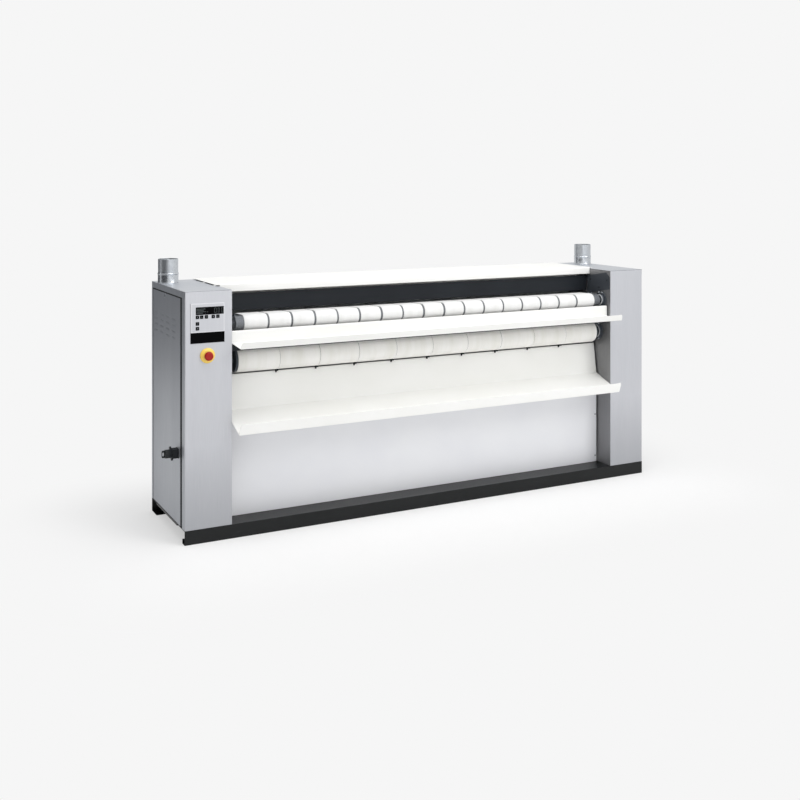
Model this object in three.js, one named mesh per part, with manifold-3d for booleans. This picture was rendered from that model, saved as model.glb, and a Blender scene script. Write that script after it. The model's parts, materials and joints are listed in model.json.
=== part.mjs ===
// Flatwork ironer for hotel and laundry linen, in millimetres, +Z up.
// Linen goes in over the white feed table, rides the feed bands to a heated cylinder, is carried
// round it by the ironing bands and drops down the chute into the lower tray.
// Inside the machine group x = 0 is the middle of the length, y = 0 the front of the cabinets
// and z = 0 the floor. The whole group is then moved so that its box is centred on the origin.
import * as THREE from 'three';
import { mergeVertices } from 'three/addons/utils/BufferGeometryUtils.js';
import Module from 'manifold-3d';

// ---------------------------------------------------------------- driving dimensions
const LENGTH = 2660;            // over both cabinets
const CABINET_WIDTH = 225;
const CABINET_HEIGHT = 1160;
const BASE_HEIGHT = 66;
const COVER = 1.5;              // steel sheet of the covers
const PLATE = 6;                // side plates that carry the rollers
const FIT = 0.3;                // clearance between neighbouring pieces
const RUN = 0.6;                // clearance between a turning roller and its band
const END_GAP = 7;              // open joint between a white panel and a cabinet

// base
const CHANNEL_TOP = 130;        // width of the front channel's top flange
const CHANNEL_FOOT = 40;        // width of its lower flange
const CHANNEL_LIP = 22;         // turned-up edge of the lower flange
const CHANNEL_WALL = 3;
const REAR_CHANNEL_WIDTH = 90;
const RAIL_HEIGHT = 10;

// cabinets
const COVER_RETURN = 35;        // side flange of the front cover
const PANEL_FRONT = 60;         // front edge of the inset side panel
const PANEL_REAR_GAP = 18;      // from its rear edge to the back of the cabinet
const PANEL_INSET = 2;
const PANEL_SHADOW = 4;         // open line between the side panel and the top cover's flange
const TOP_FLANGE = 30;          // turned-down side of the top cover
const FRAME_BAR = 66;           // width of the frame's posts and rails
const FRAME_THICK = 20;
const VENT_COLUMNS = 4;
const VENT_ROWS = 4;
const VENT_LENGTH = 62;
const VENT_HEIGHT = 8;
const VENT_PITCH_Y = 108;
const VENT_PITCH_Z = 29;
const VENT_REAR_GAP = 74;       // from the back of the cabinet to the middle of the last column
const VENT_DROP = 148;          // from the top of the cabinet to the middle of the top row

// flues
const FLUE_DIAMETER = 98;
const FLUE_HEIGHT = 118;
const FLUE_SOCKET = 50;         // height of the wider lower length
const FLUE_STEP = 1.5;
const FLUE_WALL = 1.5;
const FLUE_INSET = 54;          // axis from the cabinet's outer side
const FLUE_REAR_GAP = 105;      // axis from the back of the cabinet

// white panels
const SHEET = 1.5;
const HOOD_FRONT = 188;
const HOOD_RISE = 6;            // hood top above the cabinets
const HOOD_LIP = 36;
const HOOD_LUG = 20;
const HOOD_LUG_GAPS = [20, 196];  // middle of a lug from the hood's front
const PANEL_Y = 119;            // lower front panel
const PANEL_GAP = 6;            // from its top to the tray's bend
const TABLE_FACE = 25;          // feed table: its upright face
const TABLE_TOP_DROP = 199;     // below the cabinets' top
const TABLE_FACE_HEIGHT = 55;
const TABLE_DROP = 11;          // how much lower the shelf is at its front edge
const TABLE_REACH = 122;        // how far the table's lip stands in front of the cabinets
const TABLE_LIP = 32;
const TABLE_LEAN = 14;          // how far the lip leans out at its top
const HEM = 14;
const CHUTE_TOP_Y = 145;
const CHUTE_GAP = 74;           // from the exit roller's axis down to the chute's top edge
const TRAY_BEND_Y = 120;
const CHUTE_HEIGHT = 166;       // from its top edge to the tray's bend
const TRAY_EDGE_Y = -86;
const TRAY_FALL = 76;           // how much lower the tray is at its front edge
const TRAY_LIP_Y = -112;
const TRAY_LIP_HEIGHT = 54;
const MITRE = 32;               // how much shorter a lip is at its top
const REAR_VENTS = 9;
const REAR_VENT_LENGTH = 160;
const REAR_VENT_HEIGHT = 10;

// finger guard
const GUARD_Y = 214;
const GUARD_DROP = 40;          // its top edge below the cabinets' top
const GUARD_HEIGHT = 84;
const GUARD_THICK = 2;
const GUARD_PIN = 5;            // radius

// heated cylinder
const DRUM_RADIUS = 162.5;
const DRUM_WALL = 6;
const DRUM_END = 10;
const DRUM_END_GAP = 15;        // from its end to the side plate
const DRUM_FRONT_GAP = 197.5;   // from the cabinets' front to its surface
const DRUM_TOP_GAP = 97.5;      // from the cabinets' top to its surface
const JOURNAL = 50;
const JOURNAL_BORE = 40;
const BEARING_SIZE = 170;
const BEARING_DEPTH = 38;
const BEARING_CAP = 8;

// heating rods
const HEATER_TUBE = 25;
const HEATER_RODS = 6;
const HEATER_ROD = 11;
const HEATER_CIRCLE = 105;
const HEATER_DISC = 125;
const HEATER_DISC_THICK = 5;

// rollers: radii of barrel and journal, the gap from a barrel's end to the side plate, and the
// axis: how far it lies behind the cabinets' front or the cylinder's back, and how far it lies
// below the cabinets' top or under the cylinder
const FEED_ROLLER = { radius: 35, journalRadius: 12, endGap: 36, y: 82, drop: 168 };
const REAR_FEED_ROLLER = { radius: 20, journalRadius: 8, endGap: 65, y: 178, drop: 157 };
const EXIT_ROLLER = { radius: 56.4, journalRadius: 15, endGap: 41, y: 115, drop: 348 };
const TOP_ROLLER = { radius: 18, journalRadius: 8, endGap: 41, y: 262, drop: 54 };
const BACK_ROLLER = { radius: 27, journalRadius: 10, endGap: 41, behind: 11.5, drop: 70 };
const LOW_ROLLER = { radius: 27, journalRadius: 10, endGap: 41, behind: 11.5, under: 15.5 };
const REAR_SPACE = 56;          // from the back rollers' axis to the back of the cabinets
const STUB = 12;                // journal end beyond the side plate
const ROLLER_WALL = 4;
const ROLLER_END = 12;          // thickness of a roller's end disc
const STUB_WALL = 4;

// bands
const BAND = 3;
const FEED_BAND = 2.4;
const FEED_BANDS = 17;
const FEED_BAND_MARGIN = 76.5;  // from the outermost band to the side plate
const FEED_BAND_GAP = 10;
const IRON_BANDS = 10;
const IRON_BAND_MARGIN = 51.5;
const GROOVE = 0.6;             // share of a band's thickness that a gap goes down

// drive
const CHAIN_HEIGHT = 8;
const CHAIN_WIDTH = 12;
const SPROCKET_THICK = 10;
const CHAIN_PITCH = 19.05;
const DRUM_TEETH = 36;
const MOTOR_TEETH = 11;
const SPROCKET_OUT = 10;        // from the bearing's face to the sprocket
const MOTOR_Z = 380;
const MOTOR_SHAFT = 14;
const GEARBOX = 130;
const MOTOR_RADIUS = 45;
const MOTOR_LENGTH = 190;

// exhaust fans
const FAN_SIZE = 150;
const FAN_DEPTH = 96;
const FAN_WALL = 2;
const FAN_INLET = 42;
const FAN_RADIUS = 62;
const FAN_BLADES = 8;
const FAN_SHAFT = 6;
const FAN_MOTOR = 28;           // radius
const FAN_MOTOR_LENGTH = 32;
const FAN_GAP = 24;             // from the inlet to the wheel
const FAN_BLADE = 3;

// controls on the left cabinet
const FASCIA_LEFT = 27;         // from the outer side of the cabinet
const FASCIA_WIDTH = 161;
const FASCIA_DROP = 56;         // its top edge below the cabinet's top
const FASCIA_HEIGHT = 134;
const FASCIA_THICK = 2.5;
const NAME_PLATE_HEIGHT = 49;
const WINDOW = { left: 24, width: 134, bottom: 81, height: 36, thick: 1.2 };
const KEY_SIZE = 14;
const KEY_THICK = 1.9;
const KEY_PROUD = 0.6;
// middles of the keys from the lower left corner of the control plate
const KEYS = [[32, 71], [52, 71], [74, 71], [107, 71], [129, 71], [32, 41], [32, 19]];
const STOP_X = 107;
const STOP_DROP = 298;          // below the cabinet's top
const STOP_COLLAR = 35;
const STOP_COLLAR_DEPTH = 12;
const STOP_COLLAR_BEVEL = 3;
const STOP_HEAD = 21;
const STOP_HEAD_DEPTH = 14;
const STOP_HEAD_BEVEL = 4;
const STOP_STEM = 11;
const STOP_LIFT = 5.5;          // free travel under the head
const ISOLATOR = { y: 128, z: 397, size: 42, depth: 26 };
const LEVER = { length: 68, width: 16, thick: 8 };
const GRIP = { radius: 20, depth: 26 };
const LOCK_TAB = { thick: 6, reach: 14, height: 34, holeHeight: 18, holeReach: 8 };
const ELECTRICS = { y: 180, z: 560, width: 240, height: 300, depth: 90, wall: 2 };
const SWITCHGEAR = { rows: 3, pitch: 88, height: 60, width: 160, depth: 55 };

// ---------------------------------------------------------------- derived sizes
const OUTER = LENGTH / 2;                       // outer side of a cabinet
const INNER = OUTER - CABINET_WIDTH;            // inner side of a cabinet
const PANEL_HALF = INNER - END_GAP;
const PLATE_BACK = INNER + PLATE;               // cabinet side of the side plate
const ISOLATOR_REACH = ISOLATOR.depth + LEVER.thick + GRIP.depth + LOCK_TAB.reach
  + 2 * FIT - PANEL_INSET;
const DRUM_Y = DRUM_FRONT_GAP + DRUM_RADIUS;
const DRUM_Z = CABINET_HEIGHT - DRUM_TOP_GAP - DRUM_RADIUS;
const DRUM_HALF = INNER - DRUM_END_GAP;
const DRUM_BACK = DRUM_Y + DRUM_RADIUS;
const DEPTH = DRUM_BACK + BACK_ROLLER.behind + REAR_SPACE;     // front to back of a cabinet
const TOTAL_DEPTH = DEPTH + TABLE_REACH;
const PANEL_REAR = DEPTH - PANEL_REAR_GAP;
const TABLE_TOP = CABINET_HEIGHT - TABLE_TOP_DROP;
const TABLE_SHELF = TABLE_TOP - TABLE_FACE_HEIGHT;
const CHUTE_TOP = CABINET_HEIGHT - EXIT_ROLLER.drop - CHUTE_GAP;
const TRAY_BEND = CHUTE_TOP - CHUTE_HEIGHT;
const TRAY_EDGE = TRAY_BEND - TRAY_FALL;
const TRAY_LIP = TRAY_EDGE + TRAY_LIP_HEIGHT;
const PANEL_TOP = TRAY_BEND - PANEL_GAP;
const GUARD_TOP = CABINET_HEIGHT - GUARD_DROP;
const GUARD_BOTTOM = GUARD_TOP - GUARD_HEIGHT;
const FLUE_Y = DEPTH - FLUE_REAR_GAP;
const FASCIA_BOTTOM = CABINET_HEIGHT - FASCIA_DROP - FASCIA_HEIGHT;
const STOP_Z = CABINET_HEIGHT - STOP_DROP;
const FEED_BAND_PITCH = (2 * (INNER - FEED_BAND_MARGIN)) / FEED_BANDS;
const IRON_BAND_PITCH = (2 * (INNER - IRON_BAND_MARGIN)) / IRON_BANDS;
const DRUM_SPROCKET = (CHAIN_PITCH * DRUM_TEETH) / (2 * Math.PI);
const MOTOR_SPROCKET = (CHAIN_PITCH * MOTOR_TEETH) / (2 * Math.PI);

const wasm = await Module();
wasm.setup();

// ---------------------------------------------------------------- solids
const toSolid = (geometry) => {
  const plain = geometry.clone();
  plain.deleteAttribute('normal');
  plain.deleteAttribute('uv');
  const merged = mergeVertices(plain, 1e-4);
  return new wasm.Manifold(new wasm.Mesh({
    numProp: 3,
    vertProperties: new Float32Array(merged.attributes.position.array),
    triVerts: new Uint32Array(merged.index.array),
  }));
};

const toGeometry = (solid) => {
  const mesh = solid.getMesh();
  const geometry = new THREE.BufferGeometry();
  geometry.setAttribute('position', new THREE.BufferAttribute(mesh.vertProperties, 3));
  geometry.setIndex(new THREE.BufferAttribute(mesh.triVerts, 1));
  return geometry;
};

const join = (...geometries) => toGeometry(geometries.map(toSolid).reduce((a, b) => a.add(b)));
const cut = (geometry, ...tools) =>
  toGeometry(tools.map(toSolid).reduce((a, b) => a.subtract(b), toSolid(geometry)));

// a box from its lowest to its highest corner
const box = (x0, x1, y0, y1, z0, z1) => new THREE.BoxGeometry(x1 - x0, y1 - y0, z1 - z0)
  .translate((x0 + x1) / 2, (y0 + y1) / 2, (z0 + z1) / 2);

// a round bar whose axis runs along x
const barX = (radius, x0, x1, y, z, sides = 18) => new THREE.CylinderGeometry(
  radius, radius, x1 - x0, sides).rotateZ(Math.PI / 2).translate((x0 + x1) / 2, y, z);

// a round bar whose axis runs along y
const barY = (radius, x, y0, y1, z, sides = 18) => new THREE.CylinderGeometry(
  radius, radius, y1 - y0, sides).translate(x, (y0 + y1) / 2, z);

// a closed profile of [radius, x] points turned about the line y, z
const turnX = (points, y, z, sides) => {
  const profile = points.concat([points[0]]).map(([r, x]) => new THREE.Vector2(r, x));
  return new THREE.LatheGeometry(profile, sides).rotateZ(-Math.PI / 2).translate(0, y, z);
};

// a hollow barrel with an end disc and a hollow journal at both ends
const barrelX = ({ radius, wall, disc, half, journalRadius, bore, left, right, y, z }, sides) => turnX([
  [bore, left], [journalRadius, left], [journalRadius, -half], [radius, -half], [radius, half],
  [journalRadius, half], [journalRadius, right], [bore, right], [bore, half - disc],
  [radius - wall, half - disc], [radius - wall, disc - half], [bore, disc - half]], y, z, sides);

// the outline of [y, z] points, with holes, pushed out from x0 to x1
const extrudeX = (outline, x0, x1, holes = []) => {
  const shape = new THREE.Shape(outline.map(([y, z]) => new THREE.Vector2(y, z)));
  for (const hole of holes) {
    shape.holes.push(new THREE.Path(hole.map(([y, z]) => new THREE.Vector2(y, z))));
  }
  const geometry = new THREE.ExtrudeGeometry(shape, { depth: x1 - x0, bevelEnabled: false });
  return geometry.applyMatrix4(new THREE.Matrix4().set(
    0, 0, 1, x0, 1, 0, 0, 0, 0, 1, 0, 0, 0, 0, 0, 1));
};

// the outline of [x, y] points pushed up from z0 to z1
const extrudeZ = (outline, z0, z1) => new THREE.ExtrudeGeometry(
  new THREE.Shape(outline.map(([x, y]) => new THREE.Vector2(x, y))),
  { depth: z1 - z0, bevelEnabled: false }).translate(0, 0, z0);

const circle = (y, z, radius, sides = 18) => Array.from({ length: sides }, (_, i) => {
  const angle = (2 * Math.PI * i) / sides;
  return [y + radius * Math.cos(angle), z + radius * Math.sin(angle)];
});

const rectangle = (y, z, width, height) => [
  [y - width / 2, z - height / 2], [y + width / 2, z - height / 2],
  [y + width / 2, z + height / 2], [y - width / 2, z + height / 2]];

// a folded sheet: the bend points of one face, and the same line moved to its left by the
// sheet's thickness, or to its right where the thickness is negative
const foldedSheet = (line, thickness) => {
  const points = line.map(([y, z]) => new THREE.Vector2(y, z));
  const headings = points.slice(1).map((point, i) => point.clone().sub(points[i]).normalize());
  const moved = points.map((point, i) => {
    const before = headings[Math.max(i - 1, 0)];
    const after = headings[Math.min(i, headings.length - 1)];
    const normal = new THREE.Vector2(-before.y, before.x);
    const middle = normal.clone().add(new THREE.Vector2(-after.y, after.x)).normalize();
    return point.clone().addScaledVector(middle, thickness / middle.dot(normal));
  });
  return line.concat(moved.reverse().map((point) => [point.x, point.y]));
};

// ---------------------------------------------------------------- bands round their rollers
// Each wheel is [y, z, radius, turn]; turn is 1 where the loop goes round it anticlockwise
// with the wheel inside, and -1 where the wheel lies outside the loop. The loop's straight
// pieces touch the wheels' circles from outside, so it never cuts into them.
const loopRound = (wheels, step) => {
  const count = wheels.length;
  const heading = wheels.map(([y, z, radius, turn], i) => {
    const [nextY, nextZ, nextRadius, nextTurn] = wheels[(i + 1) % count];
    const length = Math.hypot(nextY - y, nextZ - z);
    const slope = Math.atan2(nextZ - z, nextY - y);
    return slope + Math.asin((turn * radius - nextTurn * nextRadius) / length);
  });
  return wheels.flatMap(([y, z, radius, turn], i) => {
    const start = heading[(i + count - 1) % count];
    let sweep = heading[i] - start;
    while (turn * sweep < 0) sweep += turn * 2 * Math.PI;
    while (turn * sweep >= 2 * Math.PI) sweep -= turn * 2 * Math.PI;
    const steps = Math.max(2, Math.ceil(Math.abs(sweep) / step));
    const place = (turned, r) => {
      const angle = start + sweep * turned - Math.PI / 2;
      return [y + turn * r * Math.cos(angle), z + turn * r * Math.sin(angle)];
    };
    const corner = radius / Math.cos(sweep / steps / 2);
    const corners = Array.from({ length: steps }, (_, k) => place((k + 0.5) / steps, corner));
    return [place(0, radius), ...corners, place(1, radius)];
  });
};

// the two faces of a band: inner face first, then outer face
const bandFaces = (rollers, thickness, step) => [RUN, RUN + thickness].map((inside, face) => {
  const outside = RUN + thickness * (1 - face);
  return loopRound(rollers.map(([roller, turn]) =>
    [roller.y, roller.z, roller.radius + (turn > 0 ? inside : outside), turn]), step);
});

// a row of bands, joined at their roots so that the row is one body
const bandRow = (rollers, thickness, count, pitch, gap, step) => {
  const [inner, outer] = bandFaces(rollers, thickness, step);
  const [, root] = bandFaces(rollers, thickness * (1 - GROOVE), step);
  const half = (count * pitch) / 2;
  const parts = [];
  for (let i = 0; i < count; i += 1) {
    const left = -half + i * pitch + (i > 0 ? gap / 2 : 0);
    const right = -half + (i + 1) * pitch - (i < count - 1 ? gap / 2 : 0);
    parts.push(extrudeX(outer, left, right, [inner]));
    if (i < count - 1) parts.push(extrudeX(root, right, right + gap, [inner]));
  }
  return join(...parts);
};

// ---------------------------------------------------------------- colours
const paint = (color, roughness, metalness) =>
  new THREE.MeshStandardMaterial({ color, roughness, metalness });
const STEEL = [0xb9bdc3, 0.38, 0.85];
const SIDE_STEEL = [0x8f959d, 0.42, 0.85];
const WHITE = [0xf3f3ee, 0.45, 0];
const BLACK = [0x26292c, 0.5, 0.1];
const DARK = [0x33373c, 0.45, 0.3];
const ZINC = [0xc3c6c9, 0.35, 0.9];
const BARE = [0xa9acae, 0.3, 0.95];
const CLOTH = [0xefede6, 0.9, 0];
const CAST = [0x4d545b, 0.6, 0.5];
const RED = [0xc8201c, 0.35, 0];
const YELLOW = [0xf0bf1a, 0.4, 0];
const GLOSS = [0x101114, 0.15, 0];

const machine = new THREE.Group();
machine.position.set(ISOLATOR_REACH / 2, TABLE_REACH - TOTAL_DEPTH / 2, 0);

const add = (name, geometry, colour) => {
  const mesh = new THREE.Mesh(geometry, paint(...colour));
  mesh.name = name;
  machine.add(mesh);
};

// mirror the x range of a box for the left cabinet (side = -1) or keep it (side = 1)
const sideBox = (side, x0, x1, ...rest) =>
  (side > 0 ? box(x0, x1, ...rest) : box(-x1, -x0, ...rest));
const sideBar = (side, radius, x0, x1, y, z, sides) =>
  (side > 0 ? barX(radius, x0, x1, y, z, sides) : barX(radius, -x1, -x0, y, z, sides));
const sideExtrude = (side, outline, x0, x1, holes) =>
  (side > 0 ? extrudeX(outline, x0, x1, holes) : extrudeX(outline, -x1, -x0, holes));

// ---------------------------------------------------------------- base
const frontChannel = extrudeX([
  [0, 0], [CHANNEL_FOOT, 0], [CHANNEL_FOOT, CHANNEL_LIP], [CHANNEL_FOOT - CHANNEL_WALL, CHANNEL_LIP],
  [CHANNEL_FOOT - CHANNEL_WALL, CHANNEL_WALL], [CHANNEL_WALL, CHANNEL_WALL],
  [CHANNEL_WALL, BASE_HEIGHT - CHANNEL_WALL], [CHANNEL_TOP, BASE_HEIGHT - CHANNEL_WALL],
  [CHANNEL_TOP, BASE_HEIGHT], [0, BASE_HEIGHT]], -OUTER, OUTER);
add('base_channel_front', frontChannel, BLACK);

const rearFace = DEPTH - REAR_CHANNEL_WIDTH;
const rearChannel = extrudeX([
  [rearFace, 0], [DEPTH, 0], [DEPTH, BASE_HEIGHT], [rearFace, BASE_HEIGHT],
  [rearFace, BASE_HEIGHT - CHANNEL_WALL], [DEPTH - CHANNEL_WALL, BASE_HEIGHT - CHANNEL_WALL],
  [DEPTH - CHANNEL_WALL, CHANNEL_WALL], [rearFace, CHANNEL_WALL]], -OUTER, OUTER);
add('base_channel_rear', rearChannel, BLACK);

const sideName = (side) => (side < 0 ? 'left' : 'right');
const railZ = BASE_HEIGHT - RAIL_HEIGHT;
for (const side of [-1, 1]) {
  const rail = sideBox(side, INNER, OUTER, CHANNEL_TOP + FIT, rearFace - FIT, railZ, BASE_HEIGHT);
  add(`base_rail_${sideName(side)}`, rail, BLACK);
}

// ---------------------------------------------------------------- side plates with roller seats
const placed = (roller) => ({
  ...roller,
  half: INNER - roller.endGap,
  y: roller.y ?? DRUM_BACK + roller.behind,
  z: roller.drop ? CABINET_HEIGHT - roller.drop : DRUM_Z - DRUM_RADIUS - roller.under,
});
const frontFeedRoller = placed(FEED_ROLLER);
const rearFeedRoller = placed(REAR_FEED_ROLLER);
const exitRoller = placed(EXIT_ROLLER);
const topRoller = placed(TOP_ROLLER);
const backRoller = placed(BACK_ROLLER);
const lowRoller = placed(LOW_ROLLER);
const rollers = [frontFeedRoller, rearFeedRoller, exitRoller, topRoller, backRoller, lowRoller];
const floorZ = BASE_HEIGHT + FIT;
const underCover = CABINET_HEIGHT - COVER - FIT;
const guardPinZ = GUARD_TOP - GUARD_PIN;
for (const side of [-1, 1]) {
  const outline = [[COVER + FIT, floorZ], [DEPTH - COVER - FIT, floorZ],
    [DEPTH - COVER - FIT, underCover], [COVER + FIT, underCover]];
  const seats = rollers.map((roller) => circle(roller.y, roller.z, roller.journalRadius + FIT));
  seats.push(circle(DRUM_Y, DRUM_Z, JOURNAL + 2 * FIT, 48));
  seats.push(circle(GUARD_Y, guardPinZ, GUARD_PIN + FIT, 16));
  const plate = sideExtrude(side, outline, INNER, PLATE_BACK, seats);
  add(`inner_plate_${sideName(side)}`, plate, SIDE_STEEL);
}

// ---------------------------------------------------------------- cabinet frames and covers
const panelOut = OUTER - PANEL_INSET;
const frameOut = panelOut - COVER - FIT;
for (const side of [-1, 1]) {
  const inside = FRAME_BAR;
  const front = COVER + FIT;
  const rear = DEPTH - COVER - FIT;
  const ring = sideExtrude(side,
    [[front, floorZ], [rear, floorZ], [rear, underCover], [front, underCover]],
    frameOut - FRAME_THICK, frameOut,
    [[[front + inside, floorZ + inside], [rear - inside, floorZ + inside],
      [rear - inside, underCover - inside], [front + inside, underCover - inside]]]);
  add(`side_frame_${sideName(side)}`, ring, BLACK);
}

const vents = [];
for (let column = 0; column < VENT_COLUMNS; column += 1) {
  for (let row = 0; row < VENT_ROWS; row += 1) {
    vents.push([DEPTH - VENT_REAR_GAP - column * VENT_PITCH_Y,
      CABINET_HEIGHT - VENT_DROP - row * VENT_PITCH_Z]);
  }
}

const flangeZ = CABINET_HEIGHT - TOP_FLANGE;
for (const side of [-1, 1]) {
  const x = (value) => side * value;
  // front cover: face and one side flange
  const face = [[x(INNER), 0], [x(OUTER), 0], [x(OUTER), COVER_RETURN],
    [x(OUTER - COVER), COVER_RETURN], [x(OUTER - COVER), COVER], [x(INNER), COVER]];
  let front = join(extrudeZ(face, floorZ, flangeZ - FIT),
    sideBox(side, INNER, OUTER, 0, COVER, flangeZ - TOP_FLANGE, underCover));
  if (side < 0) {
    front = cut(front, barY(STOP_STEM + FIT, -OUTER + STOP_X, -COVER, 3 * COVER, STOP_Z));
  }
  add(`front_cover_${sideName(side)}`, front, STEEL);

  // top cover: flat top with a turned-down outer flange and the hole of the flue
  const top = join(
    sideBox(side, INNER, OUTER, 0, DEPTH, CABINET_HEIGHT - COVER, CABINET_HEIGHT),
    sideBox(side, OUTER - COVER, OUTER, COVER + FIT, DEPTH, flangeZ, CABINET_HEIGHT));
  const flueHole = new THREE.CylinderGeometry(
    FLUE_DIAMETER / 2 + 2 * FIT, FLUE_DIAMETER / 2 + 2 * FIT, 6 * COVER, 28)
    .rotateX(Math.PI / 2).translate(x(OUTER - FLUE_INSET), FLUE_Y, CABINET_HEIGHT);
  add(`top_cover_${sideName(side)}`, cut(top, flueHole), STEEL);

  // side panel, set in a little, with its vents
  const panel = sideBox(side, panelOut - COVER, panelOut, PANEL_FRONT, PANEL_REAR,
    floorZ, flangeZ - PANEL_SHADOW);
  const slots = vents.map(([y, z]) => sideBox(side, panelOut - 2 * COVER, panelOut + COVER,
    y - VENT_LENGTH / 2, y + VENT_LENGTH / 2, z - VENT_HEIGHT / 2, z + VENT_HEIGHT / 2));
  add(`side_panel_${sideName(side)}`, cut(panel, ...slots), SIDE_STEEL);

  // rear cover: face and one side flange
  const back = join(
    sideBox(side, INNER, OUTER - COVER - FIT, DEPTH - COVER, DEPTH, floorZ, underCover),
    sideBox(side, OUTER - COVER, OUTER, PANEL_REAR + FIT, DEPTH, floorZ, flangeZ - FIT),
    sideBox(side, INNER, OUTER, DEPTH - COVER, DEPTH, floorZ, flangeZ - FIT));
  add(`rear_cover_${sideName(side)}`, back, SIDE_STEEL);

  // flue: a wider socket with the narrower pipe in it
  const lower = FLUE_DIAMETER / 2 + FLUE_STEP;
  const upper = FLUE_DIAMETER / 2;
  const socketTop = CABINET_HEIGHT + FLUE_SOCKET;
  const pipeTop = CABINET_HEIGHT + FLUE_HEIGHT;
  const flue = new THREE.LatheGeometry([
    [upper - FLUE_WALL, CABINET_HEIGHT - COVER], [upper, CABINET_HEIGHT - COVER],
    [upper, CABINET_HEIGHT + FIT], [lower, CABINET_HEIGHT + FIT], [lower, socketTop],
    [upper, socketTop], [upper, pipeTop], [upper - FLUE_WALL, pipeTop],
    [upper - FLUE_WALL, CABINET_HEIGHT - COVER]].map(([r, z]) => new THREE.Vector2(r, z)), 28)
    .rotateX(Math.PI / 2).translate(x(OUTER - FLUE_INSET), FLUE_Y, 0);
  add(`flue_${sideName(side)}`, flue, ZINC);
}

// ---------------------------------------------------------------- white panels of the middle
const hoodTop = CABINET_HEIGHT + HOOD_RISE;
const hoodRear = DEPTH - COVER;
const hoodSheet = extrudeX(foldedSheet([
  [HOOD_FRONT + HEM, hoodTop - HOOD_LIP], [HOOD_FRONT, hoodTop - HOOD_LIP], [HOOD_FRONT, hoodTop],
  [hoodRear, hoodTop], [hoodRear, hoodTop - HOOD_LIP]], -SHEET), -PANEL_HALF, PANEL_HALF);
const hoodLugs = HOOD_LUG_GAPS.flatMap((gap) => [-1, 1].map((side) => sideBox(
  side, PANEL_HALF - HOOD_LUG, INNER + HOOD_LUG / 2,
  HOOD_FRONT + gap - HOOD_LUG / 2, HOOD_FRONT + gap + HOOD_LUG / 2,
  CABINET_HEIGHT + FIT, hoodTop - SHEET / 2)));
add('hood', join(hoodSheet, ...hoodLugs), WHITE);

const rearVentHoles = Array.from({ length: REAR_VENTS }, (_, i) => {
  const x = (i - (REAR_VENTS - 1) / 2) * (2 * PANEL_HALF / REAR_VENTS);
  return box(x - REAR_VENT_LENGTH / 2, x + REAR_VENT_LENGTH / 2, DEPTH - 4 * COVER, DEPTH + COVER,
    BASE_HEIGHT + 4 * REAR_VENT_HEIGHT, BASE_HEIGHT + 5 * REAR_VENT_HEIGHT);
});
const rearSheet = box(-INNER + FIT, INNER - FIT, hoodRear - 2 * SHEET - FIT, hoodRear - SHEET - FIT,
  floorZ, hoodTop - HOOD_LIP + HEM);
add('rear_panel', cut(rearSheet, ...rearVentHoles), WHITE);

const lowerSheet = foldedSheet([
  [PANEL_Y + HEM, PANEL_TOP], [PANEL_Y, PANEL_TOP], [PANEL_Y, floorZ]], SHEET);
add('lower_front_panel', extrudeX(lowerSheet, -PANEL_HALF, PANEL_HALF), WHITE);

// cut the ends of a lip at a slant, so that it is shorter at its top
const mitreEnds = (geometry, lipY, low, high, reach) => {
  const wedges = [-1, 1].map((side) => {
    const ends = [[side * PANEL_HALF, low], [side * (PANEL_HALF + MITRE), low],
      [side * (PANEL_HALF + MITRE), high], [side * (PANEL_HALF - MITRE), high]];
    const shape = new THREE.Shape(ends.map(([x, z]) => new THREE.Vector2(x, z)));
    return new THREE.ExtrudeGeometry(shape, { depth: reach, bevelEnabled: false })
      .rotateX(Math.PI / 2).translate(0, lipY + reach / 2, 0);
  });
  return cut(geometry, ...wedges);
};

const tableEdge = TABLE_SHELF - TABLE_DROP;
const tableProfile = foldedSheet([
  [TABLE_FACE + HEM, TABLE_TOP], [TABLE_FACE, TABLE_TOP], [TABLE_FACE, TABLE_SHELF],
  [TABLE_LEAN - TABLE_REACH, tableEdge], [-TABLE_REACH, tableEdge + TABLE_LIP]], -SHEET);
const tableLugs = [-1, 1].map((side) => sideBox(side, PANEL_HALF - 2 * HEM, INNER - FIT,
  TABLE_FACE - SHEET / 2, TABLE_FACE + 2 * HEM, TABLE_SHELF + HEM / 2, TABLE_SHELF + 2 * HEM));
add('feed_table', join(mitreEnds(extrudeX(tableProfile, -PANEL_HALF, PANEL_HALF),
  -TABLE_REACH, tableEdge + 2 * SHEET, tableEdge + TABLE_LIP + SHEET, TABLE_LIP), ...tableLugs), WHITE);

const trayProfile = foldedSheet([
  [CHUTE_TOP_Y, CHUTE_TOP], [TRAY_BEND_Y, TRAY_BEND], [TRAY_EDGE_Y, TRAY_EDGE],
  [TRAY_LIP_Y, TRAY_LIP]], -SHEET);
const trayLugs = [-1, 1].map((side) => sideBox(side, PANEL_HALF - 2 * HEM, INNER - FIT,
  CHUTE_TOP_Y - HEM, CHUTE_TOP_Y + 2 * HEM, CHUTE_TOP - 5 * HEM, CHUTE_TOP - 3 * HEM));
add('exit_tray', join(mitreEnds(extrudeX(trayProfile, -PANEL_HALF, PANEL_HALF),
  (TRAY_EDGE_Y + TRAY_LIP_Y) / 2, TRAY_EDGE + 2 * SHEET, TRAY_LIP + SHEET,
  4 * HEM), ...trayLugs), WHITE);

// ---------------------------------------------------------------- finger guard
const guard = join(
  box(-PANEL_HALF, PANEL_HALF, GUARD_Y - GUARD_THICK / 2, GUARD_Y + GUARD_THICK / 2,
    GUARD_BOTTOM, GUARD_TOP),
  ...[-1, 1].map((side) => sideBar(side, GUARD_PIN, PANEL_HALF - 2 * HEM, PLATE_BACK,
    GUARD_Y, guardPinZ, 16)));
add('finger_guard', guard, DARK);

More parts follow.
